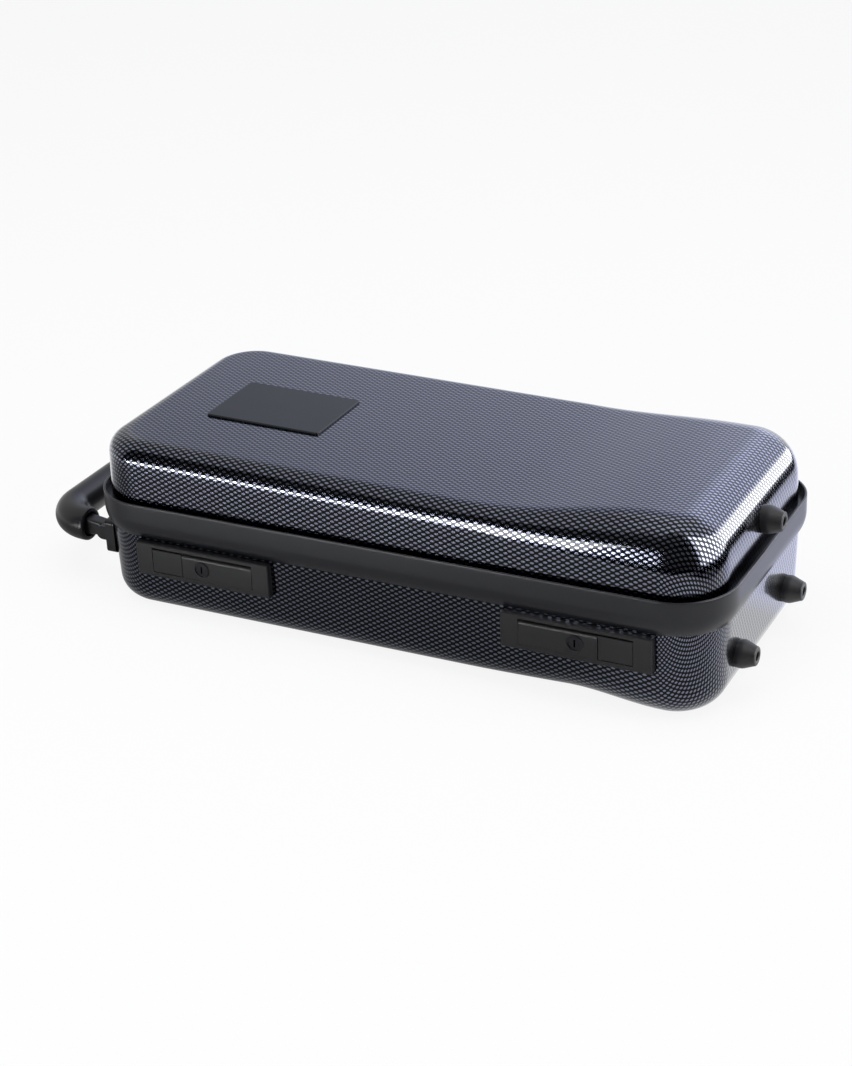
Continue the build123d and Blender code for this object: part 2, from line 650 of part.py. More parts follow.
def hinge_pin():
    """The pin through all five knuckles."""
    length = HINGE_WIDTH + HINGE_PIN_EXTRA
    return rod((HINGE_X - length / 2, HINGE_Y, HINGE_Z), (1, 0, 0), HINGE_PIN_RADIUS, length)


# Handle pieces

END_WALL_X = HALF_LENGTH - base_inset(HANDLE_Z)
PIVOT_X = -(END_WALL_X + BRACKET_PLATE + EYE_RADIUS + EAR_GAP)
GRIP_X = PIVOT_X - GRIP_REACH
GRIP_MOUTH_X = GRIP_X + GRIP_BEND + GRIP_LIP


def handle_path(start_x):
    """The U that the grip and its core follow."""
    corners = [(GRIP_X, -HANDLE_SPREAD, HANDLE_Z), (GRIP_X, HANDLE_SPREAD, HANDLE_Z)]
    return FilletPolyline((start_x, -HANDLE_SPREAD, HANDLE_Z), *corners,
                          (start_x, HANDLE_SPREAD, HANDLE_Z), radius=GRIP_BEND)


def u_bar(start_x, radius):
    """A round bar bent along the handle's path."""
    path = handle_path(start_x)
    return sweep(Plane(origin=path @ 0, z_dir=path % 0) * Circle(radius), path)


def handle_core():
    """The bent core with its two flat arms and their eyes."""
    body = u_bar(GRIP_MOUTH_X + CORE_START, CORE_RADIUS)
    for side in (-1, 1):
        y = side * HANDLE_SPREAD
        deep = Plane(origin=(GRIP_MOUTH_X - ARM_ROOT, y, HANDLE_Z), x_dir=(0, 1, 0), z_dir=(1, 0, 0))
        near = Plane(origin=(PIVOT_X - EYE_RADIUS / 2, y, HANDLE_Z), x_dir=(0, 1, 0), z_dir=(1, 0, 0))
        wide = deep * RectangleRounded(ARM_WIDTH, ARM_HEIGHT, ARM_CORNER)
        slim = near * RectangleRounded(ARM_WIDTH, 2 * EYE_RADIUS - 1.0, ARM_CORNER)
        eye = rod((PIVOT_X, y - ARM_WIDTH / 2, HANDLE_Z), (0, 1, 0), EYE_RADIUS, ARM_WIDTH)
        body = body + loft([wide, slim]) + eye - handle_pin(side, FIT / 2)
    return body


def handle_grip():
    """The fat grip moulded round the core, with a dished mouth at each end."""
    body = u_bar(GRIP_MOUTH_X, GRIP_RADIUS)
    ends = body.faces().filter_by(GeomType.PLANE).edges()
    body = fillet(ends, GRIP_EDGE) - u_bar(GRIP_MOUTH_X + GRIP_DISH, CORE_RADIUS + FIT / 2)
    for side in (-1, 1):
        start = (GRIP_MOUTH_X - GRIP_DISH, side * HANDLE_SPREAD, HANDLE_Z)
        body = body - rod(start, (1, 0, 0), GRIP_RADIUS - GRIP_RIM, 2 * GRIP_DISH)
    return body


def handle_pin(side, clearance=0.0):
    """The pin through a bracket's ears and an arm's eye, or its hole."""
    length = ARM_WIDTH + 2 * (EAR_GAP + EAR_THICKNESS)
    start = (PIVOT_X, side * HANDLE_SPREAD - length / 2, HANDLE_Z)
    return rod(start, (0, 1, 0), HANDLE_PIN_RADIUS + clearance, length)


def bracket_screws(side):
    """Two screws through a bracket, the end wall and the backing plate."""
    y = side * (HANDLE_SPREAD - ARM_WIDTH)
    spots = [(-(END_WALL_X + BRACKET_PLATE), y, HANDLE_Z + dz) for dz in (-BRACKET_SCREW_Z, BRACKET_SCREW_Z)]
    return [screw(spot, (1, 0, 0), BRACKET_PLATE + WALL + BACKING_THICKNESS) for spot in spots]


def handle_bracket(side, base_outer):
    """A bracket on the end wall, with two ears round the arm's eye."""
    y = side * HANDLE_SPREAD
    z0, z1 = HANDLE_Z - BRACKET_HEIGHT / 2, HANDLE_Z + BRACKET_HEIGHT / 2
    inner = y - side * (BRACKET_LENGTH / 2 + BRACKET_TAIL)
    outer = y + side * BRACKET_LENGTH / 2
    front = -(END_WALL_X + BRACKET_PLATE)
    body = block(front, front + BRACKET_DEPTH, min(inner, outer), max(inner, outer), z0, z1)
    body = fillet(body.edges().filter_by(Axis.X), BRACKET_CORNER)
    for ear in (-1, 1):
        y0 = y + ear * (ARM_WIDTH / 2 + EAR_GAP)
        y1 = y0 + ear * EAR_THICKNESS
        cheek = block(PIVOT_X, front, y0, y1, HANDLE_Z - EYE_RADIUS, HANDLE_Z + EYE_RADIUS)
        body = body + cheek + rod((PIVOT_X, min(y0, y1), HANDLE_Z), (0, 1, 0), EYE_RADIUS, EAR_THICKNESS)
    body = body - base_outer - handle_pin(side)
    for fixing in bracket_screws(side):
        body = body - fixing
    return body


def handle_backing(side):
    """The backing plate inside the end wall."""
    y = side * (HANDLE_SPREAD - ARM_WIDTH)
    z0, z1 = HANDLE_Z - BRACKET_HEIGHT / 2, HANDLE_Z + BRACKET_HEIGHT / 2
    x1 = -(END_WALL_X - WALL) + BACKING_THICKNESS
    half = BACKING_WIDTH / 2
    body = block(x1 - BACKING_THICKNESS - 1.0, x1, y - half, y + half, z0, z1)
    body = body & base_void
    for fixing in bracket_screws(side):
        body = body - fixing
    return body


# Feet and badge

def foot(y, z, outer):
    """A rubber foot on the right end wall, with a deep hole for its screw."""
    plane = Plane(origin=(FOOT_TIP_X - FOOT_LENGTH, y, z), x_dir=(0, 1, 0), z_dir=(1, 0, 0))
    body = plane * Cone(FOOT_BASE_RADIUS + FOOT_TAPER, FOOT_TIP_RADIUS, FOOT_LENGTH,
                        align=(Align.CENTER, Align.CENTER, Align.MIN))
    body = fillet(body.edges().sort_by(Axis.X)[-1], FOOT_EDGE) - outer
    return body - rod((FOOT_TIP_X - FOOT_SCREW_DEPTH, y, z), (1, 0, 0), FOOT_BORE, 2 * FOOT_SCREW_DEPTH)


def foot_screw(y, z, wall_x):
    """The screw in a foot's hole, through the wall."""
    seat = FOOT_TIP_X - FOOT_SCREW_DEPTH
    return screw((seat, y, z), (-1, 0, 0), seat - wall_x + WALL - SOFT_GAP)


def badge_plate():
    """The bare plate on the lid's straight slope, bevelled all round."""
    slope = math.degrees(math.atan2(lid_top(BADGE_X) - lid_top(BADGE_X + 1.0), 1.0))
    body = extrude(RectangleRounded(BADGE_LENGTH, BADGE_WIDTH, BADGE_CORNER), BADGE_THICKNESS)
    body = chamfer(body.faces().sort_by(Axis.Z)[-1].edges(), BADGE_BEVEL)
    return Pos(BADGE_X, BADGE_Y, lid_top(BADGE_X)) * Rot(0, slope, 0) * body


# Foam

def rounded_pocket(x0, length, y, width, low):
    """A square-cornered pocket with rounded corners, open at the top."""
    outline = Pos(x0 + length / 2, y, low) * RectangleRounded(length, width, POCKET_CORNER)
    return extrude(outline, CASE_WIDTH)


def joint_hollow(y, radius, length):
    """A round-bottomed trough for a joint of the clarinet."""
    trough = rod((HOLLOW_START_X, y, JOINT_DEPTH), (1, 0, 0), radius, length)
    end = HOLLOW_START_X + length
    return trough + block(HOLLOW_START_X, end, y - radius, y + radius, JOINT_DEPTH, CASE_WIDTH)


def bell_hollow():
    """A crosswise cone for the bell, open at the top."""
    y0, y1 = BELL_Y - BELL_LENGTH / 2, BELL_Y + BELL_LENGTH / 2
    plane = Plane(origin=(BELL_X, y0, BELL_Z), x_dir=(1, 0, 0), z_dir=(0, 1, 0))
    return plane * Cone(BELL_MOUTH_RADIUS, BELL_NECK_RADIUS, y1 - y0,
                        align=(Align.CENTER, Align.CENTER, Align.MIN))


def bell_throat():
    """The straight way up out of the bell's hollow."""
    y0, y1 = BELL_Y - BELL_LENGTH / 2, BELL_Y + BELL_LENGTH / 2
    corners = [(BELL_X - BELL_MOUTH_RADIUS, y0), (BELL_X + BELL_MOUTH_RADIUS, y0)]
    corners += [(BELL_X + BELL_NECK_RADIUS, y1), (BELL_X - BELL_NECK_RADIUS, y1)]
    outline = Plane.XY.offset(BELL_Z) * make_face(Polyline(*corners, close=True))
    return extrude(outline, INSERT_TOP - BELL_Z + 1.0)


def base_insert():
    """The fitted foam in the base, with its hollows and the clearances round the latches."""
    body = BASE_FORM.solid(WALL + SOFT_GAP)
    body = body + prism(BAND_SKIRT_INSET + SOFT_GAP, BAND_LOW - 6.5, INSERT_TOP)
    body = body - joint_hollow(LOWER_JOINT_Y, LOWER_JOINT_RADIUS, LOWER_JOINT_LENGTH)
    body = body - joint_hollow(UPPER_JOINT_Y, UPPER_JOINT_RADIUS, UPPER_JOINT_LENGTH)
    x = HOLLOW_START_X
    for length in (MOUTHPIECE_LENGTH, BARREL_LENGTH, TRAY_LENGTH):
        body = body - rounded_pocket(x, length, SMALL_POCKET_Y, SMALL_POCKET_WIDTH, SMALL_POCKET_FLOOR)
        x = x + length + SMALL_POCKET_GAP
    body = body - bell_hollow() - bell_throat()
    half = HOUSING_LENGTH / 2 + FIT
    housing = block(LATCH_X - half, LATCH_X + half, -HALF_WIDTH, HOUSING_BACK + FIT,
                    HOUSING_LOW - FIT, CASE_WIDTH)
    reach = PLATE_SCREW_X + SCREW_HEAD_RADIUS + 1.0
    heads = block(LATCH_X - reach, LATCH_X + reach, -HALF_WIDTH, HOUSING_FRONT,
                  LATCH_Z - PLATE_HEIGHT / 2, LATCH_Z + PLATE_HEIGHT / 2)
    body = body - at_both(housing + heads)
    for side in (-1, 1):
        y = side * (HANDLE_SPREAD - ARM_WIDTH)
        x1 = -(END_WALL_X - WALL) + BACKING_THICKNESS + FIT
        z0, z1 = HANDLE_Z - BRACKET_HEIGHT / 2, HANDLE_Z + BRACKET_HEIGHT / 2
        half = BACKING_WIDTH / 2 + FIT
        body = body - block(-HALF_LENGTH, x1, y - half, y + half, z0 - FIT, z1 + FIT)
    return body


def lid_pad():
    """The pad in the lid, with a hollow over the bell."""
    body = LID_FORM.solid(WALL + SOFT_GAP)
    body = body - block(-CASE_LENGTH, CASE_LENGTH, -CASE_WIDTH, CASE_WIDTH, 0, PAD_LOW)
    return body - bell_hollow()


base_outer = BASE_FORM.solid(0.0)
base_void = BASE_FORM.solid(WALL)
lid_outer = LID_FORM.solid(0.0)
lid_void = LID_FORM.solid(WALL)

# Shells, band, rim and seal
flange = prism(BASE_INSET, BAND_LOW, LEDGE - BAND_FLOOR - FIT) - prism(BASE_INSET + WALL, BAND_LOW, BAND_TOP)
base_shell = base_outer - base_void + flange
lid_shell = lid_outer - lid_void
rim_band = ring(band_profile())
lid_rim = ring(band_rect(LID_INSET + WALL + FIT, KEEPER_INSET, LID_RIM_LOW, LID_RIM_TOP))
lid_rim = lid_rim & (lid_void + prism(LID_INSET + WALL, LID_RIM_LOW - 1.0, LID_OPEN + 0.5))
seal_out = LID_INSET + (WALL - SEAL_WIDTH) / 2
seal = ring(band_rect(seal_out, seal_out + SEAL_WIDTH, LEDGE - SEAL_DEPTH, LEDGE))

# Latches
latches = {
    "latch_plate": latch_plate(base_outer),
    "latch_lever": latch_lever(),
    "lever_pin": lever_pin(),
    "lock_barrel": lock_barrel(),
    "latch_hook": latch_hook(),
    "latch_button": latch_button(),
    "button_spring": latch_spring(),
    "latch_housing": latch_housing(),
    "latch_keeper": latch_keeper(),
}
wall_cut = latch_window(-HALF_WIDTH, -(HALF_WIDTH - 15.0))
notch_half = KEEPER_WIDTH / 2 + KEEPER_NOTCH_SIDE
skirt_y = BAND_SKIRT_INSET - HALF_WIDTH
keeper_notch = block(HOOK_X - notch_half, HOOK_X + notch_half, skirt_y - KEEPER_NOTCH_DEPTH,
                     skirt_y + 1.0, BAND_LOW, LEDGE + 1.0)
base_shell = base_shell - at_both(wall_cut)
rim_band = rim_band - at_both(keeper_notch)
for fixing in plate_screws():
    base_shell = base_shell - at_both(fixing)
for fixing in keeper_screws():
    lid_rim = lid_rim - at_both(fixing)

# Hinges
hinges = {
    "hinge_base_leaf": hinge_base_leaf(),
    "hinge_lid_leaf": hinge_lid_leaf(),
    "hinge_pin": hinge_pin(),
}
for fixing in base_leaf_screws():
    rim_band = rim_band - at_both(fixing)
    base_shell = base_shell - at_both(fixing)
for fixing in lid_leaf_screws():
    lid_shell = lid_shell - at_both(fixing)

# Handle and feet
for side in (-1, 1):
    for fixing in bracket_screws(side):
        base_shell = base_shell - fixing
base_foot_wall = HALF_LENGTH - base_inset(BASE_FOOT_Z)
lid_foot_wall = HALF_LENGTH - lid_inset(LID_FOOT_Z)
base_foot_screws = [foot_screw(y, BASE_FOOT_Z, base_foot_wall) for y in (-BASE_FOOT_Y, BASE_FOOT_Y)]
lid_foot_screw = foot_screw(0.0, LID_FOOT_Z, lid_foot_wall)
for fixing in base_foot_screws:
    base_shell = base_shell - fixing
lid_shell = lid_shell - lid_foot_screw

nodes = {
    "base_shell": base_shell,
    "rim_band": rim_band,
    "seal": seal,
    "base_insert": base_insert(),
    "lid_shell": lid_shell,
    "lid_rim": lid_rim,
    "lid_pad": lid_pad(),
    "badge_plate": badge_plate(),
    "handle_core": handle_core(),
    "handle_grip": handle_grip(),
    "foot_base_front": foot(-BASE_FOOT_Y, BASE_FOOT_Z, base_outer) - base_foot_screws[0],
    "foot_base_back": foot(BASE_FOOT_Y, BASE_FOOT_Z, base_outer) - base_foot_screws[1],
    "foot_lid": foot(0.0, LID_FOOT_Z, lid_outer) - lid_foot_screw,
    "foot_base_screws": Compound(children=base_foot_screws),
    "foot_lid_screw": lid_foot_screw,
}
for name, side in (("front", -1), ("back", 1)):
    nodes[f"handle_bracket_{name}"] = handle_bracket(side, base_outer)
    nodes[f"handle_pin_{name}"] = handle_pin(side)
    nodes[f"handle_backing_{name}"] = handle_backing(side)
for name, shape in {**latches, **hinges}.items():
    for hand, piece in both_sides(shape).items():
        nodes[f"{name}_{hand}"] = piece - lid_outer if name == "hinge_lid_leaf" else piece
screw_groups = {
    "latch_plate_screws": plate_screws(),
    "keeper_screws": keeper_screws(),
    "hinge_base_screws": base_leaf_screws(),
    "hinge_lid_screws": lid_leaf_screws(),
}
for name, screws in screw_groups.items():
    pairs = screws + [mirror(fixing, about=Plane.YZ) for fixing in screws]
    nodes[name] = Compound(children=pairs)
nodes["handle_screws"] = Compound(children=bracket_screws(-1) + bracket_screws(1))

os.makedirs("parts", exist_ok=True)
for name, shape in nodes.items():
    export_step(shape, f"parts/{name}.step")
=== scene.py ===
"""Looks of the clarinet case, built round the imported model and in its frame.

The case's sizes are written in millimetres, as in the part's source, and the studio's in metres. Every
mesh is made in metres. +X is the bell end, -Y the latch side, and +Z is up.
"""
import logging
import math
from dataclasses import dataclass, field
from enum import Enum
from typing import Callable, ClassVar

import bmesh
import bpy
import numpy as np
from mathutils import Matrix


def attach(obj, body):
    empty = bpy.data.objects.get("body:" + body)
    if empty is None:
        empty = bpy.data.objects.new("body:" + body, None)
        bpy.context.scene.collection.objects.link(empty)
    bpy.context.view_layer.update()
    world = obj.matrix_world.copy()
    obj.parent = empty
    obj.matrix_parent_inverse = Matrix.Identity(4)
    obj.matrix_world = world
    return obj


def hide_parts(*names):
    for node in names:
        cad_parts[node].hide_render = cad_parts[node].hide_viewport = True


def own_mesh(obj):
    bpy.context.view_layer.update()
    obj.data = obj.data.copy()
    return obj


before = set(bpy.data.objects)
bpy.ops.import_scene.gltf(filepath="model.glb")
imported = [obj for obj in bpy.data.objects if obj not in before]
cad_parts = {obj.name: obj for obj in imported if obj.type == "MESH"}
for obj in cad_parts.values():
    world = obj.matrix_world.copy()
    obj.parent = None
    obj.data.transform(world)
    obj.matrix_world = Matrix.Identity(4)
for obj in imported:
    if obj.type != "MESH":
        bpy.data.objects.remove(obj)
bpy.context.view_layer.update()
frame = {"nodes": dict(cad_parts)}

Array = np.ndarray
Tree = bpy.types.NodeTree
Socket = bpy.types.NodeSocket
MM = 0.001
LATCH_X = 133.5
LOG = logging.getLogger("clarinet_case")


class Facing(Enum):
    """Which way a moulding's closed face looks."""

    UP = 1
    DOWN = -1


class Spot(Enum):
    """The three rubber feet, by the CAD node that each stands for."""

    BASE_FRONT = "foot_base_front"
    BASE_BACK = "foot_base_back"
    LID = "foot_lid"


class Source(Enum):
    """Which coordinates a finish reads."""

    OBJECT = "Object"
    SHEET = "UV"


class Sum(Enum):
    """The two kinds of maths node."""

    PLAIN = "ShaderNodeMath"
    VECTOR = "ShaderNodeVectorMath"


def colour(hex_code: str) -> tuple[float, float, float, float]:
    """Turn an sRGB hex value to linear RGBA.

    Args:
        hex_code: six hex digits after a hash sign.

    Returns:
        Linear red, green, blue and an alpha of 1.
    """
    parts = [int(hex_code[k:k + 2], 16) / 255 for k in (1, 3, 5)]
    linear = [p / 12.92 if p <= 0.04045 else ((p + 0.055) / 1.055) ** 2.4 for p in parts]
    return (*linear, 1.0)


def add_node(tree: Tree, kind: str, sockets: dict | None = None, **settings: object) -> bpy.types.Node:
    """Add one node with its settings, socket values and links.

    Args:
        tree: the node tree it goes into.
        kind: Blender's name of the node type.
        sockets: by input name or number, a value, a socket to link, or a node whose first output is linked.
        settings: the node's own properties.

    Returns:
        The new node.
    """
    node = tree.nodes.new(kind)
    for name, value in settings.items():
        setattr(node, name, value)
    for key, value in (sockets or {}).items():
        if isinstance(value, bpy.types.Node):
            value = value.outputs[0]
        if isinstance(value, bpy.types.NodeSocket):
            tree.links.new(value, node.inputs[key])
        else:
            node.inputs[key].default_value = value
    return node


def start_material(name: str) -> tuple[bpy.types.Material, Tree]:
    """Make an empty node material.

    Args:
        name: the material's name.

    Returns:
        The material and its node tree.
    """
    material = bpy.data.materials.new(name)
    material.use_nodes = True
    material.node_tree.nodes.clear()
    return material, material.node_tree


def close_material(tree: Tree, shader: bpy.types.Node) -> None:
    """Link a shader, the node whose first output is the surface, to a new material output."""
    add_node(tree, "ShaderNodeOutputMaterial", {"Surface": shader})


def reckon(tree: Tree, operation: str, *values: object, kind: Sum = Sum.PLAIN) -> bpy.types.Node:
    """Add a maths node of an operation and its values in order, as add_node takes them."""
    return add_node(tree, kind.value, dict(enumerate(values)), operation=operation)


def span(tree: Tree, value: object, to: tuple[float, float] = (0.0, 1.0),
         between: tuple[float, float] = (0.0, 1.0), **settings: str) -> Socket:
    """Carry a value from one range, between, to another, and hold it at the ends."""
    sockets = {"Value": value, "From Min": between[0], "From Max": between[1], "To Min": to[0], "To Max": to[1]}
    return add_node(tree, "ShaderNodeMapRange", sockets, **settings).outputs["Result"]


def noise(tree: Tree, place: object, scale: float, detail: float, **more: float) -> Socket:
    """Add a noise texture with its scale, its detail and more sockets by name, and give its factor."""
    sockets = {"Vector": place, "Scale": scale, "Detail": detail, **more}
    return add_node(tree, "ShaderNodeTexNoise", sockets).outputs["Fac"]


def two_tone(tree: Tree, share: object, dark: tuple, light: tuple) -> Socket:
    """Mix two linear colours by the light one's share."""
    return add_node(tree, "ShaderNodeMix", {0: share, 6: dark, 7: light}, data_type="RGBA").outputs["Result"]


def relief(tree: Tree, height: Socket, strength: float, depth_mm: float) -> bpy.types.Node:
    """Add a bump that rises with a height."""
    return add_node(tree, "ShaderNodeBump", {"Height": height, "Strength": strength, "Distance": depth_mm * MM})


def per_metre(size_mm: float) -> float:
    """How many of a size in millimetres go into a metre."""
    return 1 / (size_mm * MM)


@dataclass(frozen=True)
class Finish:
    """A finish of the case, which makes one material from its own sizes."""

    name: str
    source: ClassVar[Source] = Source.OBJECT

    def sockets(self, tree: Tree, place: Socket) -> dict[str, object]:
        """Lay the finish's own nodes.

        Args:
            tree: the material's node tree.
            place: the coordinates that it reads.

        Returns:
            What the shader's inputs get.
        """
        raise NotImplementedError

    def material(self) -> bpy.types.Material:
        """Build the material.

        Returns:
            The material, with one shader.
        """
        material, tree = start_material(self.name)
        place = add_node(tree, "ShaderNodeTexCoord").outputs[self.source.value]
        close_material(tree, add_node(tree, "ShaderNodeBsdfPrincipled", self.sockets(tree, place)))
        return material


@dataclass(frozen=True)
class CarbonFilm(Finish):
    """Carbon-look film under a moulded clear gloss.

    A printed weave of pale, metallic ovals on navy black. The ovals mirror what is round them in
    silver grey and the black between them only shines where a lamp is mirrored, so the weave is
    clear on the walls, fine on the top and gone where the surroundings are dark. The film is read
    from the sheet's own flat coordinates, so it turns and tightens round the corners as a drawn
    film does.
    """

    name: str = "carbon_film"
    source: ClassVar[Source] = Source.SHEET
    thread_hex: str = "#8e92a6"
    ground_hex: str = "#06070b"
    thread_length_mm: float = 5.9
    row_height_mm: float = 1.8
    oval: tuple[float, float, float] = (3.6, 2.1, 0.0)
    oval_edge: tuple[float, float] = (1.12, 0.55)
    mottle: tuple[float, float] = (0.82, 1.12)
    mottle_scale: float = 0.35

    def sockets(self, tree: Tree, place: Socket) -> dict[str, object]:
        """Lay rows of ovals, each row set half an oval beside the last.

        Args:
            tree: the material's node tree.
            place: the sheet's own coordinates, in metres.

        Returns:
            What the shader's inputs get.
        """
        scale = (per_metre(self.thread_length_mm), per_metre(self.row_height_mm), 1.0)
        mapped = add_node(tree, "ShaderNodeMapping", {"Vector": place, "Scale": scale})
        split = add_node(tree, "ShaderNodeSeparateXYZ", {0: mapped})
        row = reckon(tree, "FLOOR", split.outputs["Y"])
        across = reckon(tree, "FRACT", reckon(tree, "MULTIPLY_ADD", row, 0.5, split.outputs["X"]))
        along = reckon(tree, "FRACT", split.outputs["Y"])
        cell = add_node(tree, "ShaderNodeCombineXYZ", {"X": across, "Y": along})
        middle = reckon(tree, "SUBTRACT", cell, (0.5, 0.5, 0.0), kind=Sum.VECTOR)
        oval = reckon(tree, "MULTIPLY", middle, self.oval, kind=Sum.VECTOR)
        reach = reckon(tree, "LENGTH", oval, kind=Sum.VECTOR).outputs["Value"]
        thread = span(tree, reach, between=self.oval_edge, interpolation_type="SMOOTHSTEP")
        shade = span(tree, noise(tree, mapped, self.mottle_scale, 2.0), self.mottle)
        mask = reckon(tree, "MULTIPLY", thread, shade)
        return {"Base Color": two_tone(tree, mask, colour(self.ground_hex), colour(self.thread_hex)),
                "Metallic": 1.0, "Roughness": 0.17, "Normal": relief(tree, thread, 0.15, 0.1),
                "Coat Weight": 1.0, "Coat Roughness": 0.03, "Coat IOR": 1.28}


@dataclass(frozen=True)
class MouldedPlastic(Finish):
    """Black ABS moulded in an eroded tool.

    The tool leaves a fine grain, so highlights are broad and soft, with a faint cloudiness.
    """

    base_hex: str
    roughness: float = 0.42
    grain_mm: float = 0.6
    grain_depth: float = 0.12
    cloud_mm: float = 30.0
    cloud_lift: float = 1.5

    def sockets(self, tree: Tree, place: Socket) -> dict[str, object]:
        """Lay the fine grain and the large, faint cloud.

        Args:
            tree: the material's node tree.
            place: Object coordinates.

        Returns:
            What the shader's inputs get.
        """
        grain = noise(tree, place, per_metre(self.grain_mm), 3.0, Roughness=0.6)
        cloud = noise(tree, place, per_metre(self.cloud_mm), 2.0)
        dark = colour(self.base_hex)
        light = tuple(min(1.0, part * self.cloud_lift) for part in dark)
        rough = span(tree, grain, (self.roughness - 0.05, self.roughness + 0.07))
        return {"Base Color": two_tone(tree, cloud, dark, light), "Roughness": rough, "IOR": 1.5,
                "Normal": relief(tree, grain, self.grain_depth, 0.2)}


@dataclass(frozen=True)
class MouldedRubber(Finish):
    """Moulded nitrile rubber, black, with a dull sheen and a slightly uneven skin."""

    base_hex: str = "#141416"
    roughness: float = 0.48
    skin_mm: float = 1.6

    def sockets(self, tree: Tree, place: Socket) -> dict[str, object]:
        """Lay the uneven skin over Object coordinates."""
        skin = noise(tree, place, per_metre(self.skin_mm), 4.0)
        return {"Base Color": colour(self.base_hex), "IOR": 1.52, "Normal": relief(tree, skin, 0.15, 0.3),
                "Roughness": span(tree, skin, (self.roughness - 0.08, self.roughness + 0.1)),
                "Sheen Weight": 0.1, "Sheen Roughness": 0.5}


@dataclass(frozen=True)
class BrushedSteel(Finish):
    """Plated or stainless sheet and bar, brushed along X, so its glint draws out across the brushing."""

    name: str = "brushed_steel"
    base_hex: str = "#a9abae"
    dark_hex: str = "#8b8d90"
    line_mm: float = 0.25
    line_stretch: float = 40.0

    def sockets(self, tree: Tree, place: Socket) -> dict[str, object]:
        """Lay the brushed lines, as a noise that is stretched along X.

        Args:
            tree: the material's node tree.
            place: Object coordinates.

        Returns:
            What the shader's inputs get.
        """
        fine = per_metre(self.line_mm)
        drawn = add_node(tree, "ShaderNodeMapping",
                         {"Vector": place, "Scale": (fine / self.line_stretch, fine, fine)})
        lines = noise(tree, drawn, 1.0, 2.0)
        return {"Base Color": two_tone(tree, lines, colour(self.dark_hex), colour(self.base_hex)),
                "Metallic": 1.0, "Roughness": span(tree, lines, (0.24, 0.42)),
                "Normal": relief(tree, lines, 0.1, 0.1)}


@dataclass(frozen=True)
class BlackCoatedMetal(Finish):
    """Die-cast zinc and pressed steel under black powder coat, with the coat's fine orange peel."""

    name: str = "black_coated_metal"
    base_hex: str = "#151518"
    peel_mm: float = 0.9

    def sockets(self, tree: Tree, place: Socket) -> dict[str, object]:
        """Lay the orange peel over Object coordinates."""
        peel = noise(tree, place, per_metre(self.peel_mm), 1.0)
        return {"Base Color": colour(self.base_hex), "Roughness": span(tree, peel, (0.28, 0.4)), "IOR": 1.5,
                "Normal": relief(tree, peel, 0.2, 0.2)}


@dataclass(frozen=True)
class GlossPlate(Finish):
    """Polished acrylic plate, dark grey, with a painted sheen: its colour lightens along the long waves of the
    polish.
    """

    name: str = "gloss_plate"
    base_hex: str = "#101114"
    painted_sheen_hex: str = "#191a1f"
    wave_mm: float = 25.0

    def sockets(self, tree: Tree, place: Socket) -> dict[str, object]:
        """Lay the long waves of the polish over Object coordinates, as bumps and as a painted sheen on the colour.
        """
        wave = noise(tree, place, per_metre(self.wave_mm), 1.0)
        # painted sheen: the colour lightens towards painted_sheen_hex on the polish's waves
        return {"Base Color": two_tone(tree, wave, colour(self.base_hex), colour(self.painted_sheen_hex)),
                "Roughness": 0.1, "IOR": 1.41, "Normal": relief(tree, wave, 0.06, 1.0)}


@dataclass(frozen=True)
class Velvet(Finish):
    """Short-pile velvet glued over foam: near black, with a pale sheen where the pile is seen edge on, and a
    painted sheen that lightens its colour on tufts and brushed nap patches.
    """

    name: str = "velvet_lining"
    pile_hex: str = "#16181d"
    painted_sheen_hex: str = "#2a2e38"
    sheen_hex: str = "#8b93a8"
    pile_mm: float = 0.7
    nap_mm: float = 22.0

    def sockets(self, tree: Tree, place: Socket) -> dict[str, object]:
        """Lay the pile's tufts and the brushed patches of its nap, and paint a sheen where they meet by lightening
        the colour.

        Args:
            tree: the material's node tree.
            place: Object coordinates.

        Returns:
            What the shader's inputs get.
        """
        tufts = noise(tree, place, per_metre(self.pile_mm), 3.0, Roughness=0.7)
        nap = noise(tree, place, per_metre(self.nap_mm), 3.0, Distortion=0.6)
        # painted sheen, mixed with the pile's random tone: the colour lightens towards painted_sheen_hex where
        # tufts and nap patches meet
        painted_sheen_share = span(tree, reckon(tree, "MULTIPLY", tufts, nap), between=(0.1, 0.45))
        return {"Base Color": two_tone(tree, painted_sheen_share, colour(self.pile_hex), colour(self.painted_sheen_hex)),
                "Roughness": 0.9, "Specular IOR Level": 0.2, "Normal": relief(tree, tufts, 0.5, 0.4),
                "Sheen Weight": 0.6, "Sheen Roughness": 0.35, "Sheen Tint": colour(self.sheen_hex)}


CARBON = CarbonFilm().material()
BAND_PLASTIC = MouldedPlastic("satin_abs", "#141519", roughness=0.3, grain_depth=0.04).material()
SHELL_PLASTIC = MouldedPlastic("shell_abs", "#101113", roughness=0.5).material()
LATCH_PLASTIC = MouldedPlastic("latch_nylon", "#0f0f11", grain_mm=0.5, grain_depth=0.05).material()
GRIP_PLASTIC = MouldedPlastic("grip_pvc", "#0f0f11", roughness=0.3, grain_mm=0.9, grain_depth=0.06).material()
FOOT_RUBBER = MouldedRubber("foot_rubber").material()
SEAL_RUBBER = MouldedRubber("seal_rubber", roughness=0.62).material()
STEEL = BrushedSteel().material()
BLACK_METAL = BlackCoatedMetal().material()
BLACK_NICKEL = BrushedSteel("black_nickel", "#4a4a4e", "#343438").material()
PLATE_GLOSS = GlossPlate().material()
VELVET = Velvet().material()


def put_in_scene(name: str, data: bpy.types.ID) -> bpy.types.Object:
    """Make an object of a mesh, lamp or camera, and link it to the scene.

    Args:
        name: the object's name.
        data: what it shows.

    Returns:
        The object.
    """
    made = bpy.data.objects.new(name, data)
    bpy.context.scene.collection.objects.link(made)
    return made


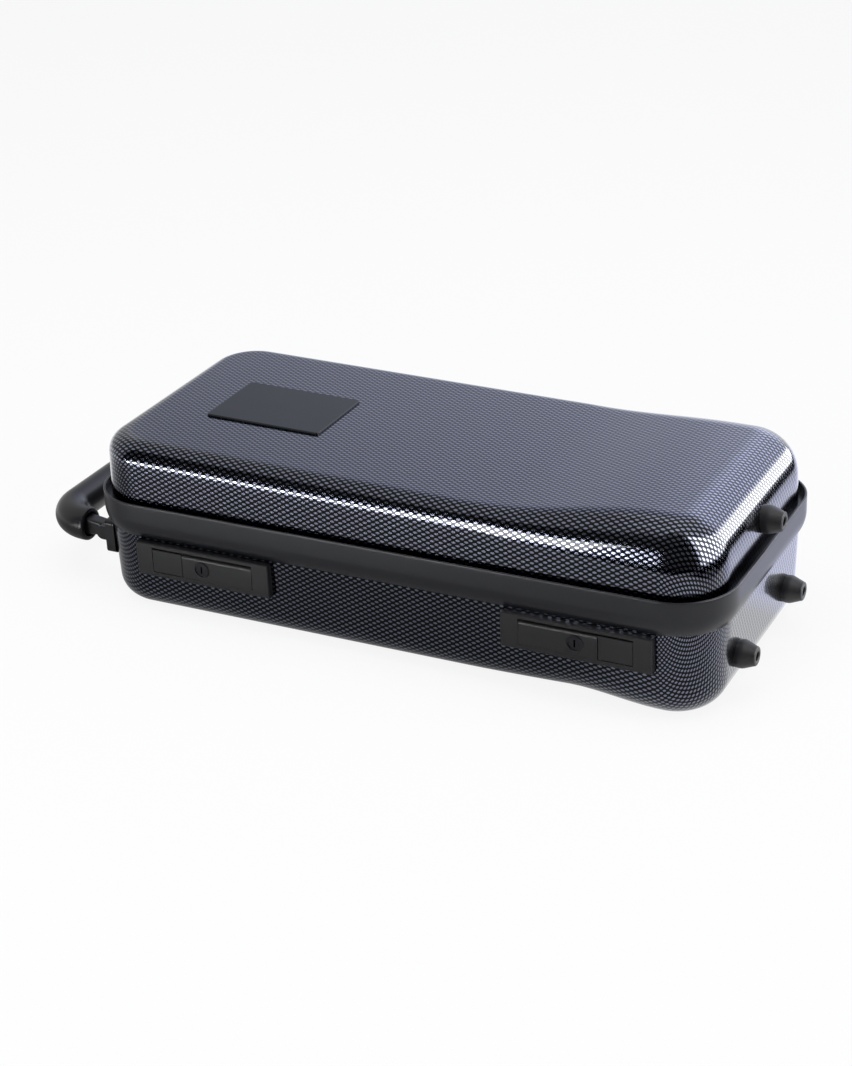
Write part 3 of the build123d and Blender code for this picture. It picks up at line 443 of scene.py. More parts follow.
def grid_quads(index: Array, wrap: bool = False) -> Array:
    """Quads of a grid, each from point (r, c) to (r, c+1), (r+1, c+1) and (r+1, c).

    Args:
        index: the points' numbers by row and column.
        wrap: join the last column to the first.

    Returns:
        Four point numbers by quad.
    """
    right = np.roll(index, -1, axis=1) if wrap else index[:, 1:]
    left = index if wrap else index[:, :-1]
    return np.stack([left[:-1], right[:-1], right[1:], left[1:]], axis=-1).reshape(-1, 4)


def write_uv(mesh: bpy.types.Mesh, name: str, flat: Array) -> None:
    """Give a mesh a UV map.

    Args:
        mesh: the mesh.
        name: the map's name.
        flat: U and V by vertex.
    """
    corners = np.empty(len(mesh.loops), dtype=np.int32)
    mesh.loops.foreach_get("vertex_index", corners)
    mesh.uv_layers.new(name=name).data.foreach_set("uv", flat[corners].astype(np.float32).ravel())


@dataclass
class Patchwork:
    """Grids of points, in millimetres, that are sewn into one mesh."""

    points: list[Array] = field(default_factory=list)
    faces: list[Array] = field(default_factory=list)
    sheet: list[Array] = field(default_factory=list)
    count: int = 0

    def add_grid(self, grid: Array, wrap: bool = False, flip: bool = False, sheet: Array | None = None,
                 skip: Callable[[Array], Array] | None = None) -> None:
        """Add a grid of points as quads.

        Args:
            grid: points by row, column and coordinate.
            wrap: join the last column to the first.
            flip: turn the faces over.
            sheet: flat coordinates in millimetres by row and column, or none.
            skip: says, of the quads' middles, which quads are left out.
        """
        size = grid.shape[0] * grid.shape[1]
        quads = grid_quads(self.count + np.arange(size).reshape(grid.shape[:2]), wrap)
        if skip is not None:
            middle = grid.reshape(-1, 3)[quads - self.count].mean(axis=1)
            quads = quads[~skip(middle)]
        self.faces.append(quads[:, ::-1] if flip else quads)
        self.points.append(grid.reshape(-1, 3))
        flat = grid[..., :2] if sheet is None else sheet
        self.sheet.append(flat.reshape(-1, 2))
        self.count += size

    def build(self, name: str, materials: list[bpy.types.Material], sharp_deg: float = 35.0,
              wall_mm: float = 0.0) -> bpy.types.Object:
        """Make the object: join doubled points, give it a wall if asked, and mark its sharp edges.

        Args:
            name: the piece's name.
            materials: its materials, the inner wall's second.
            sharp_deg: edges that turn by more than this are sharp.
            wall_mm: thickness laid inwards, or 0.

        Returns:
            The object at the origin.
        """
        mesh = bpy.data.meshes.new(name)
        points, faces = np.concatenate(self.points) * MM, np.concatenate(self.faces)
        mesh.from_pydata(points.tolist(), [], faces.tolist())
        write_uv(mesh, "sheet", np.concatenate(self.sheet) * MM)
        work = bmesh.new()
        work.from_mesh(mesh)
        bmesh.ops.remove_doubles(work, verts=work.verts, dist=1e-6)
        bmesh.ops.delete(work, geom=[v for v in work.verts if not v.link_faces], context="VERTS")
        work.to_mesh(mesh)
        work.free()
        for material in materials:
            mesh.materials.append(material)
        piece = put_in_scene(name, mesh)
        if wall_mm:
            wall = piece.modifiers.new("wall", "SOLIDIFY")
            wall.thickness = wall_mm * MM
            wall.offset = -1.0
            wall.use_even_offset = True
            wall.material_offset = wall.material_offset_rim = len(materials) - 1
            drawn = bpy.data.meshes.new_from_object(piece.evaluated_get(bpy.context.evaluated_depsgraph_get()))
            piece.modifiers.clear()
            piece.data = drawn
            bpy.data.meshes.remove(mesh)
            drawn.name = name
            mesh = drawn
        mesh.shade_smooth()
        mesh.set_sharp_from_angle(angle=math.radians(sharp_deg))
        return piece


@dataclass(frozen=True)
class Outline:
    """The case's plan: a rounded rectangle, sampled as points of its core with outward directions.

    A point at inset i is the core point plus its direction times the corner radius less i, so every
    profile carried round it keeps its distance from the band's outer face.
    """

    half_length: float = 225.0
    half_width: float = 103.0
    corner: float = 40.0
    step: float = 5.0
    corner_steps: int = 24
    ruled_x: tuple[float, ...] = (95.2, 99.5, 123.5, 171.8)

    @property
    def core_x(self) -> float:
        """Half the length of the core rectangle."""
        return self.half_length - self.corner

    @property
    def core_y(self) -> float:
        """Half the width of the core rectangle."""
        return self.half_width - self.corner

    def long_lines(self) -> Array:
        """Places of the cross lines on the long sides, with the ruled ones kept exactly.

        Returns:
            Sorted X values.
        """
        even = np.linspace(-self.core_x, self.core_x, round(2 * self.core_x / self.step) + 1)
        ruled = np.concatenate([np.array(self.ruled_x), -np.array(self.ruled_x)])
        near = np.abs(even[:, None] - ruled[None, :]).min(axis=1) < 0.4 * self.step
        near[[0, -1]] = False
        return np.sort(np.concatenate([even[~near], ruled]))

    def short_lines(self) -> Array:
        """Places of the cross lines on the ends."""
        return np.linspace(-self.core_y, self.core_y, round(2 * self.core_y / self.step) + 1)

    def samples(self) -> tuple[Array, Array]:
        """Walk once round the plan, from the front's left end and counter-clockwise from above.

        Returns:
            Core points and outward directions, each by sample and coordinate.
        """
        xs, ys = self.long_lines(), self.short_lines()
        cx, cy = self.core_x, self.core_y
        turn = np.linspace(0, np.pi / 2, self.corner_steps + 1)[1:-1]

        def run(*walk: Array | float) -> Array:
            """One stretch of the walk: its core points and its directions, side by side."""
            x, y, angle = np.broadcast_arrays(*walk)
            return np.stack([x, y, np.cos(angle), np.sin(angle)], axis=-1)

        walk = np.concatenate([
            run(xs, -cy, -np.pi / 2), run(cx, -cy, turn - np.pi / 2), run(cx, ys, 0.0), run(cx, cy, turn),
            run(xs[::-1], cy, np.pi / 2), run(-cx, cy, turn + np.pi / 2), run(-cx, ys[::-1], np.pi),
            run(-cx, -cy, turn + np.pi)])
        return walk[:, :2], walk[:, 2:]

    def carry(self, insets: Array, heights: Array) -> Array:
        """Carry profile points round the plan.

        Args:
            insets: distance in from the outer face, by profile point and sample.
            heights: Z, by profile point and sample.

        Returns:
            Points by profile point, sample and coordinate.
        """
        core, out = self.samples()
        insets, heights = np.broadcast_arrays(insets, heights)
        insets = np.broadcast_to(insets, (insets.shape[0], len(core)))
        heights = np.broadcast_to(heights, insets.shape)
        plan = core[None] + out[None] * (self.corner - insets)[..., None]
        return np.concatenate([plan, heights[..., None]], axis=-1)


OUTLINE = Outline()


def smooth(x: Array, start: float, end: float) -> Array:
    """An S-curve from 0 to 1, 3t^2 - 2t^3 of the share t of the way from start to end."""
    t = np.clip((x - start) / (end - start), 0.0, 1.0)
    return t * t * (3 - 2 * t)


@dataclass(frozen=True)
class Levels:
    """Heights of the case's two closed faces along X."""

    waist: float = 116.5
    waist_x: float = 50.0
    rise_left: float = 3.5
    rise_length: float = 235.0
    hump: float = 7.5
    hump_x: tuple[float, float] = (72.0, 176.0)
    bulge: float = 6.5
    bulge_x: tuple[float, float] = (122.0, 184.0)
    rounding_x: tuple[float, float] = (50.0, 185.0)

    def lid_top(self, x: Array) -> Array:
        """Height of the lid's top: a slow fall to the waist, then an S-curve up over the bell."""
        fall = self.rise_left * np.clip((self.waist_x - x) / self.rise_length, 0, 1)
        return self.waist + fall + self.hump * smooth(x, *self.hump_x)

    def base_floor(self, x: Array) -> Array:
        """Height of the underside, which sinks by an S-curve below the bell."""
        return -self.bulge * smooth(x, *self.bulge_x)

    def rounding(self, x: Array, left: float, bell: float) -> Array:
        """Radius of a face's edge, which grows by an S-curve from its left value to the bell's."""
        return left + (bell - left) * smooth(x, *self.rounding_x)


LEVELS = Levels()


@dataclass(frozen=True)
class Shell:
    """One of the two mouldings: drafted wall, rounded edge and shaped closed face."""

    name: str
    node: str
    body: str
    facing: Facing
    inset: float
    open_z: float
    wall_lines: tuple[float, ...]
    level: Callable[[Array], Array]
    round_left: float
    round_bell: float
    wall_mm: float = 3.0
    draft: float = math.tan(math.radians(2.0))
    wall_steps: int = 6
    arc_steps: int = 16
    flat_steps: int = 5
    windows: bool = False
    window_half: float = 38.3
    window_z: tuple[float, float] = (33.45, 51.45)
    window_y: float = -90.0
    level_power: int = 4

    def inset_at(self, z: Array) -> Array:
        """Inset of the drafted wall at height z."""
        return self.inset + np.maximum(0.0, (z - self.open_z) * self.facing.value) * self.draft

    def in_window(self, middle: Array) -> Array:
        """Which quads lie in the latch windows of the front wall.

        Args:
            middle: the quads' middles.

        Returns:
            True for those to leave out.
        """
        across = np.abs(np.abs(middle[:, 0]) - LATCH_X) < self.window_half
        up = (middle[:, 2] > self.window_z[0]) & (middle[:, 2] < self.window_z[1])
        return across & up & (middle[:, 1] < self.window_y)

    def profile(self) -> tuple[Array, Array, Array]:
        """Work out the section at each sample.

        The wall leans in by its draft up to the tangent point. The arc's centre stands a radius from
        the wall and from the closed face, and its points are the centre less the radius times the
        cosine of the angle, and plus the radius times its sine. Last comes the flat as far as the core.

        Returns:
            Insets, heights and drops, by profile point and sample. The drop is the distance along
            the section from the arc's inner end outwards.
        """
        core, _ = OUTLINE.samples()
        x, sign = core[:, 0], self.facing.value
        lean = math.atan(self.draft)
        radius = LEVELS.rounding(x, self.round_left, self.round_bell)
        top = self.level(x)
        centre_z = top - sign * radius
        centre_i = self.inset_at(centre_z) + radius / math.cos(lean)
        touch = centre_z + sign * radius * math.sin(lean)
        fixed = np.array(self.wall_lines)[:, None] * np.ones_like(x)[None]
        share = np.linspace(0, 1, self.wall_steps + 1)[1:-1, None]
        wall_z = np.concatenate([fixed, fixed[-1:] + (touch - fixed[-1:]) * share])
        wall_i = self.inset_at(wall_z)
        wall_drop = radius * (np.pi / 2 - lean) + np.abs(touch - wall_z) / math.cos(lean)
        angle = np.linspace(lean, np.pi / 2, self.arc_steps)[:, None]
        arc_z = centre_z + sign * radius * np.sin(angle)
        arc_i = centre_i - radius * np.cos(angle)
        arc_drop = radius * (np.pi / 2 - angle)
        inward = np.linspace(0, 1, self.flat_steps + 1)[1:, None]
        flat_i = centre_i + (OUTLINE.corner - centre_i) * inward
        flat_z = np.broadcast_to(top, flat_i.shape)
        flat_drop = -(flat_i - centre_i)
        return (np.concatenate([wall_i, arc_i, flat_i]), np.concatenate([wall_z, arc_z, flat_z]),
                np.concatenate([wall_drop, arc_drop, flat_drop]))

    def build(self) -> bpy.types.Object:
        """Make the shell and put it in the CAD node's place.

        Returns:
            The piece.
        """
        core, out = OUTLINE.samples()
        insets, heights, drops = self.profile()
        points = OUTLINE.carry(insets, heights)
        top = self.level(core[:, 0])
        reach = np.clip((heights - self.open_z) / (top - self.open_z), 0, 1) ** self.level_power
        points[..., 2] += (self.level(points[..., 0]) - top) * reach
        edge = OUTLINE.corner - insets[-1 - self.flat_steps]
        sheet = core[None] + out[None] * (edge[None] + drops)[..., None]
        flip = self.facing is Facing.DOWN
        quilt = Patchwork()
        quilt.add_grid(points, wrap=True, flip=flip, sheet=sheet, skip=self.in_window if self.windows else None)
        xs, ys = np.meshgrid(OUTLINE.long_lines(), OUTLINE.short_lines())
        quilt.add_grid(np.stack([xs, ys, self.level(xs)], axis=-1), flip=flip)
        piece = quilt.build(self.name, [CARBON, SHELL_PLASTIC], sharp_deg=50.0, wall_mm=self.wall_mm)
        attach(piece, self.body)
        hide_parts(self.node)
        return piece


@dataclass(frozen=True)
class RimBand:
    """The black band round the base: lip, gutter ledge, skirt and a lower face that curves in."""

    name: str = "band"
    top: float = 81.0
    low: float = 56.5
    ledge: float = 75.0
    lip: float = 1.7
    straight: float = 12.0
    foot_inset: float = 4.0
    wall_inset: float = 4.4
    gutter_z: float = 72.0
    gutter_inset: float = 7.6
    skirt: float = 10.0
    skirt_low: float = 62.0
    notch_skirt: float = 8.6
    notch_x: float = 111.5
    notch_half: float = 12.1

    def profile(self) -> Array:
        """Section as inset and height: the lip's edges are quarter rounds, and the lower face is an arc
        that leaves the straight face without a break.

        Returns:
            Points from the lip's inner foot, over the lip, down the outer face and up inside.
        """
        edge, bend = self.lip / 3, self.top - self.straight
        quarter = np.linspace(0, np.pi / 2, 6)
        rise, reach = self.top - edge + edge * np.sin(quarter), edge * np.cos(quarter)
        inner = np.stack([self.lip - edge + reach, rise], -1)
        outer = np.stack([edge - edge * np.sin(quarter), self.top - edge + reach], -1)
        drop = bend - self.low
        radius = (self.foot_inset ** 2 + drop ** 2) / (2 * self.foot_inset)
        turn = np.linspace(0, math.asin(drop / radius), 12)
        curve = np.stack([radius - radius * np.cos(turn), bend - radius * np.sin(turn)], -1)
        face = np.stack([np.zeros(3), np.linspace(self.top - edge - 2, bend + 2, 3)], -1)
        inside = np.array([[self.wall_inset, self.low], [self.wall_inset, self.gutter_z],
                           [self.gutter_inset, self.gutter_z], [self.gutter_inset, self.skirt_low],
                           [self.skirt, self.skirt_low], [self.skirt, self.ledge]])
        return np.concatenate([[[self.lip, self.ledge]], inner, outer, face, curve, inside])

    def build(self) -> bpy.types.Object:
        """Carry the section round the plan, with the keepers' notches cut into the skirt.

        Returns:
            The piece.
        """
        section = self.profile()
        core, out = OUTLINE.samples()
        insets = np.broadcast_to(section[:, :1], (len(section), len(core))).copy()
        heights = np.broadcast_to(section[:, 1:], insets.shape)
        in_notch = (np.abs(np.abs(core[:, 0]) - self.notch_x) < self.notch_half) & (out[:, 1] < -0.99)
        insets[np.ix_(section[:, 0] == self.skirt, in_notch)] = self.notch_skirt
        ring = OUTLINE.carry(insets, heights)
        quilt = Patchwork()
        quilt.add_grid(np.concatenate([ring, ring[:1]]), wrap=True, flip=True)
        piece = quilt.build(self.name, [BAND_PLASTIC], sharp_deg=28.0)
        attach(piece, "base")
        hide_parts("rim_band")
        return piece


@dataclass(frozen=True)
class HandleGrip:
    """The fat grip, a tube along a U, with a dished mouth at each end."""

    name: str = "grip"
    grip_x: float = -270.0
    spread: float = 70.0
    height: float = 41.5
    bend: float = 24.0
    mouth_x: float = -243.0
    radius: float = 11.75
    dish_radius: float = 8.75
    dish_depth: float = 6.0
    dish_edge: float = 0.6
    lip_flat: float = 0.4
    edge: float = 2.0
    trim_share: float = 2.2 / 172.0
    around: int = 48
    along: int = 141

    def path(self, count: int) -> tuple[Array, Array]:
        """The U: a straight stub, a quarter circle, the long run, a quarter circle and a stub.

        Args:
            count: points along it.

        Returns:
            Points and side directions in the level plane, by distance from one mouth to the other.
        """
        stub = self.mouth_x - self.grip_x - self.bend
        bow, run = self.bend * np.pi / 2, 2 * (self.spread - self.bend)
        total = 2 * (stub + bow) + run
        s = np.linspace(0, total, count)
        near = np.minimum(s, total - s)
        side = np.where(s < total / 2, -1.0, 1.0)
        angle = np.clip((near - stub) / self.bend, 0, np.pi / 2)
        x = np.where(near < stub, self.mouth_x - near, self.grip_x + self.bend - self.bend * np.sin(angle))
        y = self.spread - self.bend + self.bend * np.cos(angle) - np.maximum(0.0, near - stub - bow)
        out = np.stack([-np.sin(angle), side * np.cos(angle)], axis=-1)
        return np.stack([x, side * y], axis=-1), out

    def build(self) -> bpy.types.Object:
        """Make the tube and its two mouths, and put it in the CAD node's place.

        Returns:
            The piece.
        """
        centre, out = self.path(self.along)
        turn = np.linspace(0, 2 * np.pi, self.around, endpoint=False)
        quarter = np.linspace(0, np.pi / 2, 7)
        ends = np.stack([self.edge - self.edge * np.sin(quarter),
                         self.radius - self.edge + self.edge * np.cos(quarter)], -1)
        dish, flat = self.dish_radius, self.lip_flat
        mouth = np.array([[self.dish_depth, 0.0], [self.dish_depth, dish - self.dish_edge],
                          [self.dish_depth - self.dish_edge, dish], [flat, dish], [0.0, dish + flat]])
        lip = np.concatenate([mouth, ends[::-1]])
        run = np.abs(np.linspace(0, 1, len(centre)) - 0.5) < 0.5 - self.trim_share
        rings, normals, radii = centre[run], out[run], np.full(run.sum(), self.radius)
        first = np.stack([self.mouth_x - lip[:, 0], np.full(len(lip), -self.spread)], -1)
        last = first[::-1] * np.array([1.0, -1.0])
        centre = np.concatenate([first, rings, last])
        side = np.concatenate([np.tile(out[0], (len(lip), 1)), normals, np.tile(out[-1], (len(lip), 1))])
        radii = np.concatenate([lip[:, 1], radii, lip[::-1, 1]])
        plan = centre[:, None] + side[:, None] * (radii[:, None] * np.cos(turn))[..., None]
        level = self.height + radii[:, None] * np.sin(turn)
        quilt = Patchwork()
        quilt.add_grid(np.concatenate([plan, level[..., None]], -1), wrap=True)
        piece = quilt.build(self.name, [GRIP_PLASTIC], sharp_deg=45.0)
        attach(piece, "handle")
        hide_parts("handle_grip")
        return piece


@dataclass(frozen=True)
class RubberFoot:
    """A turned rubber foot: a swelling root, a cone to the tip, and a deep hole."""

    spot: Spot
    y: float
    z: float
    wall_x: float
    body: str
    tip_x: float = 232.0
    root_radius: float = 9.3
    tip_radius: float = 6.4
    bore: float = 3.2
    depth: float = 8.0
    edge: float = 1.2
    hole_edge: float = 0.5
    root_depth: float = 2.0
    around: int = 56

    def build(self) -> bpy.types.Object:
        """Turn the foot's profile about its axis: points are the radius times sine and cosine.

        Returns:
            The piece.
        """
        root = self.wall_x - self.root_depth
        length = self.tip_x - root
        quarter = np.linspace(0, np.pi / 2, 6)
        swell = np.array([[0.0, 0.0], [0.0, self.root_radius - 0.6], [2.0, self.root_radius - 0.3],
                          [0.30 * length, self.root_radius], [0.42 * length, self.root_radius - 0.15],
                          [0.52 * length, self.root_radius - 0.6]]) + np.array([root, 0.0])
        tip = np.stack([self.tip_x - self.edge + self.edge * np.sin(quarter),
                        self.tip_radius - self.edge + self.edge * np.cos(quarter)], -1)
        hole = np.array([[self.tip_x, self.bore + self.hole_edge], [self.tip_x - self.hole_edge, self.bore],
                         [self.tip_x - self.depth, self.bore], [self.tip_x - self.depth, 0.0]])
        profile = np.concatenate([swell, tip, hole])
        turn = np.linspace(0, 2 * np.pi, self.around, endpoint=False)
        x = np.broadcast_to(profile[:, :1], (len(profile), self.around))
        y = self.y + profile[:, 1:] * np.cos(turn)
        z = self.z + profile[:, 1:] * np.sin(turn)
        quilt = Patchwork()
        quilt.add_grid(np.stack([x, y, z], -1), wrap=True, flip=True)
        piece = quilt.build(self.spot.value + "_rubber", [FOOT_RUBBER], sharp_deg=40.0)
        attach(piece, self.body)
        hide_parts(self.spot.value)
        return piece


def beyond(dx: Array, dy: Array) -> Array:
    """Signed distance from a rectangle whose nearer sides are passed by dx and dy, negative inside."""
    return np.hypot(np.maximum(dx, 0), np.maximum(dy, 0)) + np.minimum(np.maximum(dx, dy), 0)


def sink(top: Array, floor: Array | float, distance: Array, soft: float, roll: float = 1.6,
         roll_width: float = 2.2) -> Array:
    """Sink a surface to a floor.

    An S-curve as wide as the cloth is soft blends the floor into the surface inside the plan, and
    the lip beside it rolls down by an exponential.

    Args:
        top: heights of the surface.
        floor: heights of the floor.
        distance: signed distance from the hollow's plan, negative inside.
        soft: width of the blend.
        roll: how far the lip rolls down.
        roll_width: how fast the roll dies out.

    Returns:
        The lower of the surface and the hollow.
    """
    rolled = top - roll * np.exp(-np.maximum(distance, 0) / roll_width)
    return np.minimum(top, floor + (rolled - floor) * smooth(distance, -soft, 0.0))


def rounded_drop(inward: Array, radius: Array | float) -> Array:
    """How far a quarter round of this radius falls, at a distance in from its edge."""
    return radius - np.sqrt(np.clip(radius ** 2 - np.clip(radius - inward, 0, None) ** 2, 0, None))


@dataclass(frozen=True)
class Pocket:
    """A hollow in the foam: a rounded box in plan, with a flat or a round-bottomed floor."""

    x0: float
    x1: float
    y: float
    half_width: float
    axis_z: float
    round_floor: bool
    corner: float = 3.0

    def carve(self, x: Array, y: Array, top: Array, soft: float) -> Array:
        """Sink a surface into the pocket.

        Args:
            x: places of the surface.
            y: places of the surface.
            top: heights of the surface.
            soft: width of the blend.

        Returns:
            The lower of the surface and the pocket.
        """
        mid, half = (self.x0 + self.x1) / 2, (self.x1 - self.x0) / 2
        dx, dy = np.abs(x - mid) - half + self.corner, np.abs(y - self.y) - self.half_width + self.corner
        bow = np.sqrt(np.clip(self.half_width ** 2 - (y - self.y) ** 2, 0, None))
        floor = self.axis_z - (bow if self.round_floor else 0.0)
        return sink(top, floor, beyond(dx, dy) - self.corner, soft)


@dataclass(frozen=True)
class BellHollow:
    """The crosswise cone for the bell."""

    x: float = 158.0
    y0: float = -65.0
    y1: float = 51.0
    z: float = 56.0
    mouth: float = 44.0
    neck: float = 27.0

    def radius(self, y: Array) -> Array:
        """Radius of the cone at y."""
        return self.mouth + (self.neck - self.mouth) * np.clip((y - self.y0) / (self.y1 - self.y0), 0, 1)

    def distance(self, x: Array, y: Array) -> Array:
        """Signed distance from the cone's plan, negative inside."""
        return np.maximum(np.abs(x - self.x) - self.radius(y), np.maximum(self.y0 - y, y - self.y1))

    def reach(self, x: Array, y: Array) -> Array:
        """Half height of the cone over a place."""
        return np.sqrt(np.clip(self.radius(y) ** 2 - (x - self.x) ** 2, 0, None))


@dataclass(frozen=True)
class Lining:
    """Shared by the two linings: a plan grid that fills the rounded rectangle at an inset."""

    inset: float
    columns: int = 331
    rows: int = 141
    crowding: float = 0.55

    def grid(self) -> tuple[Array, Array, Array]:
        """Places of the surface, and their distance in from the plan's edge.

        X is the sine of an even run, so its steps close up towards the ends, and Y is a share of the
        half width there, which shrinks round the corners by the circle's own formula.

        Returns:
            X, Y and the distance, by row and column.
        """
        half_x, corner = OUTLINE.half_length - self.inset, OUTLINE.corner - self.inset
        u, v = np.meshgrid(np.linspace(-1, 1, self.columns), np.linspace(-1, 1, self.rows))
        x = half_x * np.sin(u * np.pi / 2 * self.crowding) / math.sin(np.pi / 2 * self.crowding)
        past = np.clip(np.abs(x) - OUTLINE.core_x, 0, corner)
        y = v * (OUTLINE.core_y + np.sqrt(corner ** 2 - past ** 2))
        outside = beyond(np.abs(x) - OUTLINE.core_x, np.abs(y) - OUTLINE.core_y)
        return x, y, np.clip(corner - outside, 0, None)

    def close(self, name: str, x: Array, y: Array, upper: Array, lower: Array) -> bpy.types.Object:
        """Sew an upper and a lower surface along their edge into a closed piece.

        Args:
            name: the piece's name.
            x: places of both surfaces.
            y: places of both surfaces.
            upper: heights of the upper surface.
            lower: heights of the lower surface.

        Returns:
            The piece in velvet.
        """
        quilt = Patchwork()
        tops, bottoms = np.stack([x, y, upper], -1), np.stack([x, y, lower], -1)
        quilt.add_grid(tops)
        quilt.add_grid(bottoms, flip=True)
        walk = [np.s_[0, :-1], np.s_[:-1, -1], np.s_[-1, :0:-1], np.s_[:0:-1, 0]]
        rim_low = np.concatenate([bottoms[w] for w in walk])
        rim_high = np.concatenate([tops[w] for w in walk])
        share = np.linspace(0, 1, 5)[:, None, None]
        quilt.add_grid(rim_low[None] + (rim_high - rim_low)[None] * share, wrap=True)
        return quilt.build(name, [VELVET], sharp_deg=75.0)


@dataclass(frozen=True)
class FoamInsert:
    """The fitted foam in the base, velvet over moulded hollows."""

    name: str = "velvet_insert"
    top: float = 70.0
    crown: float = 2.5
    soft: float = 3.2
    recess_soft: float = 1.5
    wall_round: float = 17.0
    floor_gap: float = 3.6
    recess: Pocket = Pocket(-42.0, 42.0, -92.0, 16.6, 28.5, False, 1.5)
    lining: Lining = Lining(10.6)
    bell: BellHollow = BellHollow()
    pockets: tuple[Pocket, ...] = (
        Pocket(-203.0, 67.0, -42.0, 24.0, 62.0, True),
        Pocket(-203.0, 29.0, 14.0, 22.0, 62.0, True),
        Pocket(-203.0, -108.0, 66.0, 20.0, 28.0, False, 8.0),
        Pocket(-100.0, -28.0, 66.0, 20.0, 28.0, False, 8.0),
        Pocket(-20.0, 96.0, 66.0, 20.0, 28.0, False, 8.0),
    )

    def build(self) -> bpy.types.Object:
        """Work out the velvet's height over the plan and close it underneath.

        The top is a low crown, rolled down at the edge. Each pocket is carved from it, then the
        bell's cone, then the recesses round the latch housings.

        Returns:
            The piece.
        """
        x, y, inward = self.lining.grid()
        top = self.top - self.crown * np.exp(-inward / self.crown)
        for pocket in self.pockets:
            top = pocket.carve(x, y, top, self.soft)
        top = sink(top, self.bell.z - self.bell.reach(x, y), self.bell.distance(x, y), self.soft)
        for side in (-1, 1):
            top = self.recess.carve(x - side * LATCH_X, y, top, self.recess_soft)
        low = LEVELS.base_floor(x) + self.floor_gap + rounded_drop(inward, self.wall_round)
        piece = self.lining.close(self.name, x, y, top, np.minimum(low, top - 1.0))
        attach(piece, "base")
        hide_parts("base_insert")
        return piece


@dataclass(frozen=True)
class LidPad:
    """The soft pad in the lid, crowned, with a hollow over the bell and a stitched line round it."""

    name: str = "velvet_lid_pad"
    low: float = 88.6
    seam_inset: float = 14.0
    edge_roll: tuple[float, float] = (5.0, 3.0)
    seam_groove: tuple[float, float] = (1.8, 1.6)
    pillow: tuple[float, float] = (0.5, 30.0)
    bell_gap: float = 0.8
    lid_gap: float = 4.2
    rounding: tuple[float, float] = (14.0, 30.0)
    lining: Lining = Lining(12.2)
    bell: BellHollow = BellHollow()

    def build(self) -> bpy.types.Object:
        """Work out the pad's lower face and close it above, under the lid.

        The lower face rises at the edge by an exponential roll, has a sewn groove at the seam and a
        low pillow inside it, and clears the bell's cone.

        Returns:
            The piece.
        """
        x, y, inward = self.lining.grid()
        face = self.low + self.edge_roll[0] * np.exp(-inward / self.edge_roll[1])
        face += self.seam_groove[0] * np.exp(-((inward - self.seam_inset) / self.seam_groove[1]) ** 2)
        face -= self.pillow[0] * smooth(inward, self.seam_inset, self.seam_inset + self.pillow[1])
        hollow = self.bell.z + self.bell.reach(x, y) + self.bell_gap
        face = np.where(self.bell.distance(x, y) < 0, np.maximum(face, hollow), face)
        drop = rounded_drop(inward, LEVELS.rounding(x, *self.rounding))
        high = np.maximum(LEVELS.lid_top(x) - self.lid_gap - drop, face + 1.0)
        piece = self.lining.close(self.name, x, y, high, face)
        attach(piece, "lid")
        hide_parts("lid_pad")
        return piece


@dataclass(frozen=True)
class Fittings:
    """The CAD nodes that keep their own shapes, each with its finish."""

    finishes: tuple[tuple[str, bpy.types.Material], ...] = (
        ("latch_plate", LATCH_PLASTIC), ("latch_lever", LATCH_PLASTIC), ("latch_button", LATCH_PLASTIC),
        ("latch_housing", LATCH_PLASTIC), ("lock_barrel", BLACK_NICKEL), ("hinge_base_leaf", BLACK_METAL),
        ("hinge_lid_leaf", BLACK_METAL), ("handle_bracket", BLACK_METAL), ("handle_core", BLACK_METAL),
        ("handle_pin", BLACK_METAL), ("badge_plate", PLATE_GLOSS), ("seal", SEAL_RUBBER),
        ("lid_rim", SHELL_PLASTIC),
    )

    def dress(self, nodes: dict[str, bpy.types.Object]) -> int:
        """Give each shown CAD node its material by the start of its name, and steel where none fits.

        Args:
            nodes: the frame's nodes by name.

        Returns:
            How many nodes were dressed.
        """
        shown = {name: node for name, node in nodes.items() if not node.hide_render}
        for name, node in shown.items():
            fitting = [made for start, made in self.finishes if name.startswith(start) and "screws" not in name]
            node.data.materials.clear()
            node.data.materials.append(fitting[0] if fitting else STEEL)
        return len(shown)


@dataclass(frozen=True)
class ButtonSpring:
    """The coil behind a latch's button. The real coil shortens as the button goes in; it is not shortened here."""

    side: str
    travel: float = 1.0

    def give(self) -> None:
        """Give the coil's CAD node a mesh of its own."""
        node = "button_spring_" + self.side
        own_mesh(frame["nodes"][node])


@dataclass(frozen=True)
class Softbox:
    """A rectangular lamp that looks at the case and is not mirrored in it."""

    name: str
    place: tuple[float, float, float]
    size: tuple[float, float]
    watts: float
    tint: str = "#ffffff"
    aim: tuple[float, float, float] = (0.0, 0.0, 0.06)

    def build(self) -> None:
        """Add the lamp, turned to its aim."""
        lamp = bpy.data.lights.new(self.name, "AREA")
        lamp.shape = "RECTANGLE"
        lamp.size, lamp.size_y = self.size
        lamp.energy = self.watts
        lamp.color = colour(self.tint)[:3]
        lamp_object = put_in_scene(self.name, lamp)
        place, aim = np.array(self.place), np.array(self.aim)
        back = (place - aim) / np.linalg.norm(place - aim)
        right = np.cross((0, 0, 1), back)
        right = right / np.linalg.norm(right)
        turn = np.stack([right, np.cross(back, right), back], axis=1)
        lamp_object.matrix_world = Matrix.Translation(place.tolist()) @ Matrix(turn.tolist()).to_4x4()
        lamp_object.visible_glossy = False


